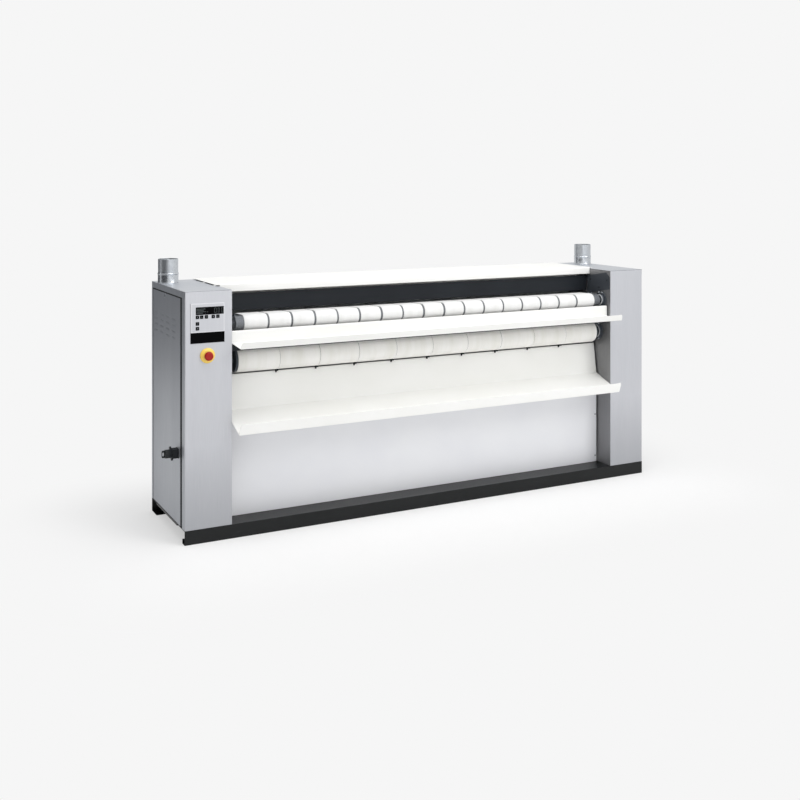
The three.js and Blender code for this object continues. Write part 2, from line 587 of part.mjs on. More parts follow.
// ---------------------------------------------------------------- heated cylinder and heater
const bearingFace = PLATE_BACK + FIT;
const bearingEnd = bearingFace + BEARING_DEPTH;
const leftJournal = bearingEnd - FIT;
const sprocketX = bearingEnd + BEARING_CAP + SPROCKET_OUT;
const rightJournal = sprocketX + SPROCKET_THICK + SPROCKET_OUT;
add('heated_cylinder', barrelX({
  radius: DRUM_RADIUS, wall: DRUM_WALL, disc: DRUM_END, half: DRUM_HALF, journalRadius: JOURNAL,
  bore: JOURNAL_BORE, left: -leftJournal, right: rightJournal, y: DRUM_Y, z: DRUM_Z }, 60), BARE);

const bearingOutline = rectangle(DRUM_Y, DRUM_Z, BEARING_SIZE, BEARING_SIZE);
const bearingBore = circle(DRUM_Y, DRUM_Z, JOURNAL + 2 * FIT, 48);
const heaterSeat = circle(DRUM_Y, DRUM_Z, HEATER_TUBE + FIT, 48);
add('cylinder_bearing_left', join(
  sideExtrude(-1, bearingOutline, bearingFace, bearingEnd, [bearingBore]),
  sideExtrude(-1, bearingOutline, bearingEnd, bearingEnd + BEARING_CAP, [heaterSeat])), CAST);
add('cylinder_bearing_right',
  sideExtrude(1, bearingOutline, bearingFace, bearingEnd, [bearingBore]), CAST);

const heaterEnd = DRUM_HALF - DRUM_END - 2 * SPROCKET_OUT;
const heaterDiscs = [-heaterEnd, 0, heaterEnd].map((x) => barX(
  HEATER_DISC, x - HEATER_DISC_THICK / 2, x + HEATER_DISC_THICK / 2, DRUM_Y, DRUM_Z, 24));
const heaterRods = circle(DRUM_Y, DRUM_Z, HEATER_CIRCLE, HEATER_RODS).map(([y, z]) =>
  barX(HEATER_ROD, -heaterEnd - SPROCKET_OUT, heaterEnd + SPROCKET_OUT, y, z, 8));
add('heater_bank', join(
  barX(HEATER_TUBE, -bearingEnd - BEARING_CAP, rightJournal, DRUM_Y, DRUM_Z, 24),
  barX(JOURNAL_BORE - RUN, INNER, rightJournal - SPROCKET_OUT, DRUM_Y, DRUM_Z, 30),
  ...heaterDiscs, ...heaterRods), BARE);

// ---------------------------------------------------------------- rollers
const rollerX = (roller, sides) => barrelX({
  ...roller, wall: ROLLER_WALL, disc: ROLLER_END, bore: roller.journalRadius - STUB_WALL,
  left: -PLATE_BACK - STUB, right: PLATE_BACK + STUB }, sides);
add('feed_roller_front', rollerX(frontFeedRoller, 24), CAST);
add('feed_roller_rear', rollerX(rearFeedRoller, 18), CAST);
add('exit_roller', rollerX(exitRoller, 30), CAST);
add('return_roller_top', rollerX(topRoller, 18), BARE);
add('return_roller_back', rollerX(backRoller, 18), BARE);
add('return_roller_low', rollerX(lowRoller, 18), BARE);

// ---------------------------------------------------------------- bands
const degrees = Math.PI / 180;
const drum = { y: DRUM_Y, z: DRUM_Z, radius: DRUM_RADIUS };
add('feed_bands', bandRow([[frontFeedRoller, 1], [rearFeedRoller, 1]],
  FEED_BAND, FEED_BANDS, FEED_BAND_PITCH, FEED_BAND_GAP, 30 * degrees), CLOTH);
const [ironInner, ironOuter] = bandFaces(
  [[exitRoller, 1], [lowRoller, 1], [backRoller, 1], [topRoller, 1], [drum, -1]],
  BAND, 12 * degrees);
add('ironing_bands', extrudeX(ironOuter, -IRON_BANDS * IRON_BAND_PITCH / 2,
  IRON_BANDS * IRON_BAND_PITCH / 2, [ironInner]), CLOTH);

// ---------------------------------------------------------------- drive in the right cabinet
const toothed = (radius, teeth, y, z, x0, x1, holes = []) => {
  const depth = Math.PI * radius / teeth / 2;
  const outline = Array.from({ length: teeth * 4 }, (_, i) => {
    const angle = (2 * Math.PI * (Math.floor(i / 4) + [0.06, 0.2, 0.3, 0.76][i % 4])) / teeth;
    const r = radius - (i % 4 === 0 || i % 4 === 3 ? depth : 0);
    return [y + r * Math.cos(angle), z + r * Math.sin(angle)];
  });
  return extrudeX(outline, x0, x1, holes);
};
add('cylinder_sprocket', toothed(DRUM_SPROCKET, DRUM_TEETH, DRUM_Y, DRUM_Z,
  sprocketX, sprocketX + SPROCKET_THICK, [circle(DRUM_Y, DRUM_Z, JOURNAL + 2 * FIT, 36)]), CAST);

const gearboxOut = sprocketX - SPROCKET_OUT;
add('motor_sprocket', join(
  toothed(MOTOR_SPROCKET, MOTOR_TEETH, DRUM_Y, MOTOR_Z, sprocketX, sprocketX + SPROCKET_THICK),
  barX(MOTOR_SHAFT, bearingFace + PLATE + FIT, sprocketX + SPROCKET_THICK + PLATE,
    DRUM_Y, MOTOR_Z)), CAST);
add('gear_motor', cut(join(
  box(bearingFace, gearboxOut, DRUM_Y - GEARBOX / 2, DRUM_Y + GEARBOX / 2,
    MOTOR_Z - GEARBOX / 2, MOTOR_Z + GEARBOX / 2),
  new THREE.CylinderGeometry(MOTOR_RADIUS, MOTOR_RADIUS, MOTOR_LENGTH, 32).rotateX(Math.PI / 2)
    .translate(bearingFace + MOTOR_RADIUS, DRUM_Y, MOTOR_Z - GEARBOX / 2 - MOTOR_LENGTH / 2 + PLATE)),
  barX(MOTOR_SHAFT + 2 * FIT, bearingFace + PLATE, sprocketX, DRUM_Y, MOTOR_Z)), CAST);

const chainWheels = (extra) => [
  [DRUM_Y, MOTOR_Z, MOTOR_SPROCKET + RUN + extra, 1], [DRUM_Y, DRUM_Z, DRUM_SPROCKET + RUN + extra, 1]];
const chainX = sprocketX + (SPROCKET_THICK - CHAIN_WIDTH) / 2;
add('drive_chain', extrudeX(loopRound(chainWheels(CHAIN_HEIGHT), 10 * degrees),
  chainX, chainX + CHAIN_WIDTH, [loopRound(chainWheels(0), 10 * degrees)]), CAST);

// ---------------------------------------------------------------- exhaust fans
const fanTop = CABINET_HEIGHT - COVER - FIT;
const fanOut = frameOut - FRAME_THICK - FIT;
const fanIn = fanOut - FAN_DEPTH;
const fanZ = fanTop - FAN_SIZE / 2;
const fanY = DEPTH - COVER - FRAME_BAR / 2 - FAN_SIZE / 2;
for (const side of [-1, 1]) {
  const shell = cut(
    sideBox(side, fanIn, fanOut, fanY - FAN_SIZE / 2, fanY + FAN_SIZE / 2, fanTop - FAN_SIZE, fanTop),
    sideBox(side, fanIn + FAN_WALL, fanOut - FAN_WALL, fanY - FAN_SIZE / 2 + FAN_WALL,
      fanY + FAN_SIZE / 2 - FAN_WALL, fanTop - FAN_SIZE + FAN_WALL, fanTop + FAN_WALL),
    sideBar(side, FAN_INLET, fanIn - FAN_WALL, fanIn + 2 * FAN_WALL, fanY, fanZ, 24));
  const shaftIn = fanIn + FAN_GAP;
  const motorIn = fanOut - FAN_MOTOR_LENGTH;
  const motor = sideBar(side, FAN_MOTOR, motorIn, fanOut - FAN_WALL / 2, fanY, fanZ);
  const shaft = sideBar(side, FAN_SHAFT, shaftIn, motorIn + FAN_WALL, fanY, fanZ, 16);
  add(`fan_housing_${sideName(side)}`, join(shell, motor, shaft), ZINC);

  const discX = motorIn - RUN;
  const blades = Array.from({ length: FAN_BLADES }, (_, i) => {
    const blade = box(0, discX - shaftIn, -FAN_BLADE / 2, FAN_BLADE / 2,
      2 * FAN_SHAFT, FAN_RADIUS - FAN_WALL)
      .rotateX((2 * Math.PI * i) / FAN_BLADES);
    return blade.translate(side > 0 ? shaftIn : -discX, fanY, fanZ);
  });
  const wheel = cut(join(
    sideBar(side, FAN_RADIUS, discX - FAN_WALL, discX, fanY, fanZ, 24),
    sideBar(side, 2 * FAN_SHAFT + FAN_WALL, shaftIn, discX, fanY, fanZ), ...blades),
  sideBar(side, FAN_SHAFT + RUN, shaftIn - FAN_GAP, discX + FAN_GAP, fanY, fanZ, 16));
  add(`fan_impeller_${sideName(side)}`, wheel, BARE);
}

// ---------------------------------------------------------------- electrics in the left cabinet
const caseIn = PLATE_BACK + FIT;
const caseOut = caseIn + ELECTRICS.depth;
const caseBox = (inset, x0, x1) => sideBox(-1, x0, x1,
  ELECTRICS.y - ELECTRICS.width / 2 + inset, ELECTRICS.y + ELECTRICS.width / 2 - inset,
  ELECTRICS.z - ELECTRICS.height / 2 + inset, ELECTRICS.z + ELECTRICS.height / 2 - inset);
const switchgear = Array.from({ length: SWITCHGEAR.rows }, (_, row) => {
  const z = ELECTRICS.z + (row - (SWITCHGEAR.rows - 1) / 2) * SWITCHGEAR.pitch;
  return sideBox(-1, caseIn + ELECTRICS.wall / 2, caseIn + ELECTRICS.wall + SWITCHGEAR.depth,
    ELECTRICS.y - SWITCHGEAR.width / 2, ELECTRICS.y + SWITCHGEAR.width / 2,
    z - SWITCHGEAR.height / 2, z + SWITCHGEAR.height / 2);
});
add('electrical_box', join(cut(caseBox(0, caseIn, caseOut),
  caseBox(ELECTRICS.wall, caseIn + ELECTRICS.wall, caseOut + ELECTRICS.wall)), ...switchgear), ZINC);

// ---------------------------------------------------------------- control panel
const fasciaX = -OUTER + FASCIA_LEFT;
const fasciaFront = -FIT - FASCIA_THICK;
const keyBox = ([x, z], grow, y0, y1) => box(
  fasciaX + x - KEY_SIZE / 2 - grow, fasciaX + x + KEY_SIZE / 2 + grow, y0, y1,
  FASCIA_BOTTOM + z - KEY_SIZE / 2 - grow, FASCIA_BOTTOM + z + KEY_SIZE / 2 + grow);
const keyPockets = KEYS.map((place) => keyBox(place, FIT, fasciaFront - COVER, COVER));
const windowX = fasciaX + WINDOW.left;
const windowZ = FASCIA_BOTTOM + WINDOW.bottom;
const windowPocket = box(windowX, windowX + WINDOW.width, fasciaFront - COVER,
  fasciaFront + WINDOW.thick, windowZ, windowZ + WINDOW.height);
add('control_plate', cut(box(fasciaX, fasciaX + FASCIA_WIDTH, fasciaFront, -FIT,
  FASCIA_BOTTOM, FASCIA_BOTTOM + FASCIA_HEIGHT), windowPocket, ...keyPockets), STEEL);
add('display_window', box(windowX + FIT, windowX + WINDOW.width - FIT, fasciaFront,
  fasciaFront + WINDOW.thick - FIT, windowZ + FIT, windowZ + WINDOW.height - FIT), GLOSS);
KEYS.forEach((place, i) => add(`key_${i + 1}`, keyBox(
  place, 0, fasciaFront - KEY_PROUD, fasciaFront - KEY_PROUD + KEY_THICK), GLOSS));
add('name_plate', box(fasciaX, fasciaX + FASCIA_WIDTH, fasciaFront, -FIT,
  FASCIA_BOTTOM - FIT - NAME_PLATE_HEIGHT, FASCIA_BOTTOM - FIT), GLOSS);

// ---------------------------------------------------------------- emergency stop
const stopX = -OUTER + STOP_X;
const turnedY = (points, x, z, sides) => new THREE.LatheGeometry(
  points.map(([r, y]) => new THREE.Vector2(r, y)), sides).translate(x, 0, z);
const collarFront = -FIT - STOP_COLLAR_DEPTH;
add('stop_collar', turnedY([[STOP_STEM, -FIT], [STOP_STEM, collarFront],
  [STOP_COLLAR - STOP_COLLAR_BEVEL, collarFront],
  [STOP_COLLAR, collarFront + 2 * STOP_COLLAR_BEVEL], [STOP_COLLAR, -FIT],
  [STOP_STEM, -FIT]], stopX, STOP_Z, 28), YELLOW);
const headBack = collarFront - STOP_LIFT;
const headFront = headBack - STOP_HEAD_DEPTH;
const stem = STOP_STEM - 2 * FIT;
const stemEnd = COVER + 2 * STOP_LIFT;
add('stop_button', turnedY([[0, headFront], [STOP_HEAD - STOP_HEAD_BEVEL, headFront],
  [STOP_HEAD, headFront + STOP_HEAD_BEVEL], [STOP_HEAD, headBack], [stem, headBack],
  [stem, stemEnd], [0, stemEnd]], stopX, STOP_Z, 28), RED);

// ---------------------------------------------------------------- mains isolator, left side
const isolatorBox = (x0, x1, width, height) => sideBox(-1, x0, x1,
  ISOLATOR.y - width / 2, ISOLATOR.y + width / 2, ISOLATOR.z - height / 2, ISOLATOR.z + height / 2);
const baseIn = panelOut + FIT;
const leverIn = baseIn + ISOLATOR.depth + FIT;
const gripIn = leverIn + LEVER.thick;
const gripOut = gripIn + GRIP.depth;
const tabOut = gripOut + LOCK_TAB.reach;
const holeIn = gripOut + (LOCK_TAB.reach - LOCK_TAB.holeReach) / 2;
add('isolator_body', isolatorBox(baseIn, baseIn + ISOLATOR.depth, ISOLATOR.size, ISOLATOR.size), BLACK);
add('isolator_handle', cut(join(
  isolatorBox(leverIn, gripIn, LEVER.width, LEVER.length),
  sideBar(-1, GRIP.radius, leverIn, gripOut, ISOLATOR.y, ISOLATOR.z, 32),
  isolatorBox(gripOut - LEVER.thick, tabOut, LOCK_TAB.thick, LOCK_TAB.height)),
isolatorBox(holeIn, holeIn + LOCK_TAB.holeReach, 2 * LOCK_TAB.thick, LOCK_TAB.holeHeight)), BLACK);

export default machine;
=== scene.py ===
# %% [markdown]
# # A flatwork ironer, from folded sheet and turned steel
# The machine dries and irons hotel linen: narrow bands carry a sheet from the white feed table to a
# heated cylinder, wide bands press it round, and it slides down the chute into the lower tray. The CAD
# frame already holds every piece at its real place and size. This notebook gives each its finished
# surface: bend radii, rolled edges, woven cloth, brushed metal.

# %% Load the fixed frame
import json
import math

import bpy
import numpy as np
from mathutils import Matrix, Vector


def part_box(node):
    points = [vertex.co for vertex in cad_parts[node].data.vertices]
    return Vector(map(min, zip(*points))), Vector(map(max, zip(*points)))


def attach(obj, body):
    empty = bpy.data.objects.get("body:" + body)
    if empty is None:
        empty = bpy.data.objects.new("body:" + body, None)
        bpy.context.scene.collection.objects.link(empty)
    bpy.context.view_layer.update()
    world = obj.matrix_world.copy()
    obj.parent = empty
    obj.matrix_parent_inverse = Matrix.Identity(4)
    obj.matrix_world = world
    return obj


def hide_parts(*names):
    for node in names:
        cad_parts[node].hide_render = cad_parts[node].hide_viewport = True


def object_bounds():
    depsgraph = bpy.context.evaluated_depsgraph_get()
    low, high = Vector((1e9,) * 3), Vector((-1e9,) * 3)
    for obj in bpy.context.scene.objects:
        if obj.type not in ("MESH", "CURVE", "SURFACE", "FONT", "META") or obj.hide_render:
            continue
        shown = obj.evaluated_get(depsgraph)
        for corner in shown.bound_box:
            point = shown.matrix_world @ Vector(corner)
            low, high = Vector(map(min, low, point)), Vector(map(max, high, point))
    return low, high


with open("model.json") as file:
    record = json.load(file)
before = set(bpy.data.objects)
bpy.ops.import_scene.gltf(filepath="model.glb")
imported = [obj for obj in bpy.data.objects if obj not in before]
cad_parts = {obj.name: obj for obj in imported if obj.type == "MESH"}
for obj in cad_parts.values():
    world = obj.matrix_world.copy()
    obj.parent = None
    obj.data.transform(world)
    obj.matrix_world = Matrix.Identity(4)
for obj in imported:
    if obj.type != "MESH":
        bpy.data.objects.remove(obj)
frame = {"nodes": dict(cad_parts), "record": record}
cad_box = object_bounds()
scene = bpy.context.scene
print("CAD solids:", len(frame["nodes"]))

# %% [markdown]
# ## The camera comes first
# The photograph was taken at eye height with the camera held level, so that upright edges stay
# upright, and it was cropped low. Tilting the camera down would frame the machine too, but it would
# make the cabinets lean. A level camera with a vertical shift does what the crop did.

# %% Camera
FRAME_PIXELS, FOCAL_PIXELS, HORIZON_ROW = 800, 1070.6, 178.17
SENSOR = 36.0
EYE, HEADING = (-2.6627, -5.028, 1.680), math.radians(-27.31)


def add(name, data):
    """A new object in the scene, at the origin."""
    made = bpy.data.objects.new(name, data)
    scene.collection.objects.link(made)
    return made


lens = bpy.data.cameras.new("level_camera")
lens.sensor_width = SENSOR
lens.lens = FOCAL_PIXELS / FRAME_PIXELS * SENSOR
lens.shift_y = HORIZON_ROW / FRAME_PIXELS - 0.5
scene.camera = add("level_camera", lens)
scene.camera.location = EYE
scene.camera.rotation_euler = (math.radians(90), 0, HEADING)
print("lens", round(lens.lens, 2), "mm, shift", round(lens.shift_y, 4))

# %% [markdown]
# ## The planes that everything is measured from
# A sheet-metal shop works from a few datum faces. Their places could be typed in, but then a change of
# the frame would leave pieces behind. So the front, back, top and inner sides of the cabinets are read
# from the boxes of the CAD nodes.

# %% Datum faces, in metres
COVER_LOW, COVER_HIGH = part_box("front_cover_left")
FRONT, OUT_LEFT, IN_LEFT = COVER_LOW.y, COVER_LOW.x, COVER_HIGH.x
IN_RIGHT, OUT_RIGHT = (corner.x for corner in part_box("front_cover_right"))
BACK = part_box("rear_cover_left")[1].y
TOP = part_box("top_cover_left")[1].z
MIDDLE, INNER = (IN_LEFT + IN_RIGHT) / 2, (IN_RIGHT - IN_LEFT) / 2
PANEL_HALF = INNER - 0.007
SHEET, FIT, FINE_EDGE = 0.0015, 0.0003, 0.0004
SIDES = {"left": -1, "right": 1}
SLOT_OF = {entry["node"]: entry["material_slot"] for entry in frame["record"]["subparts"]}


def inner_face(side, off=0.0):
    """x of a cabinet's inner face, or of a point that far off it, towards the middle."""
    return MIDDLE + SIDES[side] * (INNER - off)


def panel_face(side):
    """x of the outer face of a side panel."""
    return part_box(f"side_panel_{side}")[side == "right"].x


print("between the cabinets:", round(2 * INNER, 4), "depth:", round(BACK - FRONT, 4))

# %% [markdown]
# ## One way to make a closed skin
# Nearly every piece is a grid of points: a section carried along a line, or a profile turned round an
# axis. Curves or the Spin tool could make them, but a grid worked out with numpy is quicker to read and
# to change, and one helper closes them all. It joins neighbours by faces, merges points that fall
# together, such as those at a pole, and makes the faces point outwards.


# %% Grids to closed skins
def skin(points, closed=False):
    """(corners, groups of faces) of a grid of points, shaped (rows, columns, 3), whose rows are
    rings. Corner (i, j) shares a face with (i, j + 1), (i + 1, j + 1) and (i + 1, j). The last row
    joins the first if closed, and otherwise both are capped. The volume is the sum of
    a . (b x c) / 6 over its triangles; where that is negative, the faces are turned round."""
    rows, columns = points.shape[:2]
    i = np.arange(rows if closed else rows - 1)[:, None]
    j = np.arange(columns)
    below, beside = (i + 1) % rows, (j + 1) % columns
    quads = np.stack([i * columns + j, i * columns + beside,
                      below * columns + beside, below * columns + j], -1).reshape(-1, 4)
    ends = [] if closed else [j[::-1], j + (rows - 1) * columns]
    points = points.reshape(-1, 3)
    _, first, same = np.unique(np.round(points, 7), axis=0, return_index=True, return_inverse=True)
    corners, same = points[first], same.reshape(-1)
    quads, ends = same[quads], [same[end] for end in ends]
    ends = [end[end != np.roll(end, 1)] for end in ends]
    twins = quads == np.roll(quads, -1, axis=1)
    pinched = twins.sum(1) == 1
    left = (twins[pinched].argmax(1)[:, None] + (1, 2, 3)) % 4
    groups = [quads[~twins.any(1)], np.take_along_axis(quads[pinched], left, axis=1)]
    groups += [end[None] for end in ends if len(end) > 2]
    volume = sum((corners[group[:, :1]] * np.cross(corners[group[:, 1:-1]], corners[group[:, 2:]])).sum()
                 for group in groups)
    turn = -1 if volume < 0 else 1
    return corners, [group[:, ::turn] for group in groups]


def piece(name, skins, material, body="machine", instead_of=None, crease=35.0, edge=0.0):
    """An object made of closed skins. It rides on a CAD body and may stand for a CAD node.
    Edges that turn by more than the crease angle stay sharp, or are rounded to that edge width."""
    corners, faces, count = [], [], 0
    for points, groups in skins:
        corners.append(points)
        for group in groups:
            faces += (group + count).tolist()
        count += len(points)
    mesh = bpy.data.meshes.new(name)
    mesh.from_pydata(np.concatenate(corners).tolist(), [], faces)
    mesh.materials.append(material)
    mesh.shade_smooth()
    mesh.set_sharp_from_angle(angle=math.radians(crease))
    made = add(name, mesh)
    if edge:
        round_edges(made, edge)
    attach(made, body)
    if instead_of:
        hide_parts(instead_of)
    return made


def round_edges(thing, width):
    """A live Bevel on every edge that turns by more than 40 degrees."""
    bevel = thing.modifiers.new("rounded_edges", "BEVEL")
    bevel.width = width
    bevel.segments = 2
    bevel.limit_method = "ANGLE"
    bevel.angle_limit = math.radians(40)
    bevel.harden_normals = True


print("finish slots:", sorted(set(SLOT_OF.values())))

# %% [markdown]
# ## Finishes: a short way to write nodes
# Painted pictures could dress the machine, but patterns from Noise, Voronoi and Math nodes stay sharp
# close by, and on Object coordinates their sizes are in metres. Every finish is a Principled shader
# whose constants sit on its own sockets. An output knows its own node tree, so a helper that is given
# one needs no other hint of where its node goes.


# %% Node helpers
def linear(colour):
    """A colour as picked on a screen, 0 to 255, as the linear light that a shader wants:
    ((c / 255 + 0.055) / 1.055) ** 2.4."""
    return (*((np.array(colour) / 255 + 0.055) / 1.055) ** 2.4, 1.0)


FINISHES = {}


def finish(name, colour, roughness, metallic=0.0, **constants):
    """A new material, kept in FINISHES, with these constants on its Principled shader."""
    material = bpy.data.materials.new(name)
    material.use_nodes = True
    shader = material.node_tree.nodes["Principled BSDF"]
    constants |= {"Base Color": linear(colour), "Roughness": roughness, "Metallic": metallic}
    for socket, value in constants.items():
        shader.inputs[socket.replace("_", " ")].default_value = value
    FINISHES[name] = material
    return material


def node(owner, kind, inputs=(), output=0, **settings):
    """The output of a new node, in the tree of a material, a world or another output. Each input is
    a number, a colour or another node's output."""
    tree = owner.id_data if isinstance(owner, bpy.types.NodeSocket) else owner.node_tree
    made = tree.nodes.new(kind)
    for key, value in settings.items():
        setattr(made, key, value)
    for socket, value in dict(inputs).items():
        if isinstance(value, bpy.types.NodeSocket):
            tree.links.new(value, made.inputs[socket])
        else:
            made.inputs[socket].default_value = value
    return made.outputs[output]


def feed(material, socket, value):
    """Links a pattern to a socket of the material's shader."""
    shader = material.node_tree.nodes["Principled BSDF"]
    material.node_tree.links.new(value, shader.inputs[socket])


def maths(operation, first, second=0.0):
    """One Math node."""
    return node(first, "ShaderNodeMath", {0: first, 1: second}, operation=operation)


def vectors(operation, first, second=(0, 0, 0), output=0):
    """One Vector Math node."""
    return node(first, "ShaderNodeVectorMath", {0: first, 1: second}, output, operation=operation)


def place(material, scale=(1, 1, 1), offset=(0, 0, 0)):
    """Object coordinates, moved by offset and then stretched by scale."""
    where = node(material, "ShaderNodeTexCoord", output="Object")
    return vectors("MULTIPLY", vectors("ADD", where, offset), scale)


def noise(vector, detail=3.0, roughness=0.5):
    """Cloudy noise, about 0.3 to 0.7."""
    return node(vector, "ShaderNodeTexNoise", {
        "Vector": vector, "Scale": 1.0, "Detail": detail, "Roughness": roughness}, "Fac")


def remap(value, low, high, new_low=0.0, new_high=1.0):
    """The straight line that takes low to new_low and high to new_high, cut off at both ends."""
    return node(value, "ShaderNodeMapRange", {
        "Value": value, "From Min": low, "From Max": high, "To Min": new_low, "To Max": new_high})


def blend(factor, first, second):
    """first + factor * (second - first), for two screen colours or outputs."""
    first, second = (linear(c) if isinstance(c, tuple) else c for c in (first, second))
    return node(factor, "ShaderNodeMix", {"Factor": factor, 6: first, 7: second}, 2, data_type="RGBA")


def bump(material, height, strength, distance):
    """Feeds a height pattern to the shader's normal."""
    feed(material, "Normal", node(material, "ShaderNodeBump", {
        "Height": height, "Strength": strength, "Distance": distance}))


# %% [markdown]
# ## Brushed steel
# The covers are stainless sheet, ground upwards with a belt, which leaves scratches a few centimetres
# long, and broad soft streaks where it pressed harder. Stretched highlights alone would show no
# scratches. So both are noise, squeezed across and stretched along the grain, that moves colour,
# roughness and a faint bump together: that makes metal look ground and not painted.


# %% Brushed and plain steel
def brushed(name, light, dark, roughness, foot=0.0):
    """Steel with an upright grain. foot is how much painted shade darkens it towards the floor."""
    material = finish(name, light, roughness, metallic=0.82)
    scratches = noise(place(material, (620, 620, 9)), detail=4.0)
    streaks = noise(place(material, (17, 17, 0.8)), detail=2.0)
    clouds = noise(place(material, (2.2, 2.2, 1.6)), detail=1.0)
    grain = maths("ADD", maths("MULTIPLY", scratches, 0.45), maths("MULTIPLY", streaks, 0.2))
    grain = maths("ADD", grain, maths("MULTIPLY", clouds, 0.35))
    colour = blend(remap(grain, 0.38, 0.62), dark, light)
    # Painted shade: from 45 cm down to 5 cm the colour is blended more and more towards dark grey, for
    # the dark floor that the lower front mirrors.
    if foot:
        height = node(material, "ShaderNodeSeparateXYZ", {0: place(material)}, "Z")
        colour = blend(remap(height, 0.05, 0.45, foot, 0.0), colour, (96, 100, 104))
    feed(material, "Base Color", colour)
    feed(material, "Roughness", remap(grain, 0.35, 0.65, roughness + 0.08, roughness - 0.05))
    bump(material, scratches, 0.06, 0.0003)
    return material


brushed_steel = brushed("brushed_steel", (206, 207, 212), (198, 200, 205), 0.42, foot=0.40)
# The next three are darker copies of the front steel, as painted shade: for the top covers, for the
# sides that face away from the lamps, and for the inner faces in the shade between the cabinets.
shaded_top_steel = brushed("shaded_top_steel", (190, 193, 198), (180, 184, 190), 0.42)
side_steel = brushed("side_steel", (176, 179, 184), (166, 169, 175), 0.48)
shaded_inner_steel = brushed("shaded_inner_steel", (150, 150, 152), (140, 140, 142), 0.5)
print("steel:", list(FINISHES))

# %% [markdown]
# ## Enamel
# The middle panels are powder coated: the coat has an orange-peel skin a millimetre or two wide, and
# the sheet under it bulges by a hair over a hand's width. One even surface would look like film, so a
# fine and a broad noise share one bump. The black base has the same coat with scuffs, where trolleys
# and shoes have rubbed it grey.


# %% White, black and dark enamel
def enamel(name, colour, shade, roughness, gloss=0.45, scuffs=None):
    """Powder coat: colour drifting towards shade, an orange-peel bump, and scuffs if asked."""
    material = finish(name, colour, roughness, Specular_IOR_Level=gloss)
    drift = noise(place(material, (3.1, 3.1, 4.3)), detail=2.0)
    tone = blend(remap(drift, 0.35, 0.65), colour, shade)
    if scuffs:
        marks = noise(place(material, (9, 60, 130)), detail=6.0, roughness=0.7)
        tone = blend(remap(marks, 0.62, 0.72, 0.0, 0.55), tone, scuffs)
    feed(material, "Base Color", tone)
    peel = noise(place(material, (420, 420, 420)), detail=1.0)
    waves = noise(place(material, (5, 5, 7)), detail=0.0)
    feed(material, "Roughness", remap(peel, 0.3, 0.7, roughness + 0.05, roughness - 0.04))
    bump(material, maths("ADD", maths("MULTIPLY", peel, 0.06), waves), 0.35, 0.0012)
    return material


white_enamel = enamel("white_enamel", (248, 248, 246), (245, 245, 242), 0.42)
upper_enamel = enamel("upper_enamel", (241, 241, 239), (238, 238, 235), 0.42)
cool_enamel = enamel("cool_enamel", (240, 241, 244), (236, 237, 241), 0.45)
black_enamel = enamel("black_enamel", (20, 22, 23), (16, 18, 19), 0.36, 0.28, scuffs=(60, 64, 68))
dark_enamel = enamel("dark_enamel", (33, 37, 42), (28, 31, 36), 0.45, 0.2)
# The guard arms get a lighter copy of the dark enamel: painted reflection.
arm_enamel_painted_reflection = enamel("arm_enamel_painted_reflection", (62, 66, 72), (50, 54, 60), 0.42, 0.4)
print("enamel:", list(FINISHES)[4:])

# %% [markdown]
# ## Zinc, polished metal and castings
# Hot-dip zinc freezes into spangles, flakes 5 to 15 mm across that each catch the light in their own
# way. Noise has no edges between flakes, so they are Voronoi cells, one grey and one roughness to a
# cell. Castings are rough all over, and turned parts have fine rings round their axis: for both, one
# noise is enough, stretched for the rings.


# %% Metals
def galvanised(name, roughness):
    """Zinc: each Voronoi cell has its own grey and roughness."""
    material = finish(name, (178, 183, 188), roughness, metallic=0.9)
    cells = node(material, "ShaderNodeTexVoronoi", {
        "Vector": place(material, (150, 150, 120)), "Scale": 1.0}, "Color")
    flake = node(material, "ShaderNodeSeparateColor", {0: cells})
    feed(material, "Base Color", blend(flake, (182, 186, 191), (196, 200, 204)))
    feed(material, "Roughness", remap(flake, 0.0, 1.0, roughness + 0.04, roughness - 0.03))
    bump(material, noise(place(material, (60, 60, 25))), 0.08, 0.0005)
    return material


def metal(name, colour, shade, roughness, metallic, scale, depth):
    """Metal whose colour and roughness drift with a noise of that scale, with a bump that deep."""
    material = finish(name, colour, roughness, metallic=metallic)
    drift = noise(place(material, scale), detail=4.0)
    feed(material, "Base Color", blend(remap(drift, 0.35, 0.65), colour, shade))
    feed(material, "Roughness", remap(drift, 0.3, 0.7, roughness + 0.06, roughness - 0.06))
    bump(material, drift, 0.25, depth)
    return material


galvanised_steel = galvanised("galvanised_steel", 0.40)
zinc_socket = galvanised("zinc_socket", 0.27)
polished_steel = metal("polished_steel", (205, 208, 211), (190, 193, 197), 0.2, 1.0,
                       (500, 9, 9), 0.00004)
cast_metal = metal("cast_metal", (84, 90, 97), (66, 71, 78), 0.55, 0.6, (160, 160, 160), 0.0006)
chain_steel = metal("chain_steel", (92, 94, 97), (70, 72, 76), 0.38, 0.9, (90, 90, 90), 0.0003)
print("metals:", list(FINISHES)[10:])

# %% [markdown]
# ## Knurled roller steel
# The feed roller is knurled, so that it grips the bands: two sets of grooves wind round it in opposite
# directions. Cut into the mesh they would take very many faces, and at this size a bump shows them as
# well. The height is sin(k (x + r a)) times sin(k (x - r a)), with a the angle round the axis, and k
# times r a whole number, so that the pattern closes.


# %% Roller steel
def round_part(name):
    """(y, z, radius) of a round CAD part that lies along x: middle and half height of its box."""
    low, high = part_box(name)
    return (low.y + high.y) / 2, (low.z + high.z) / 2, (high.z - low.z) / 2


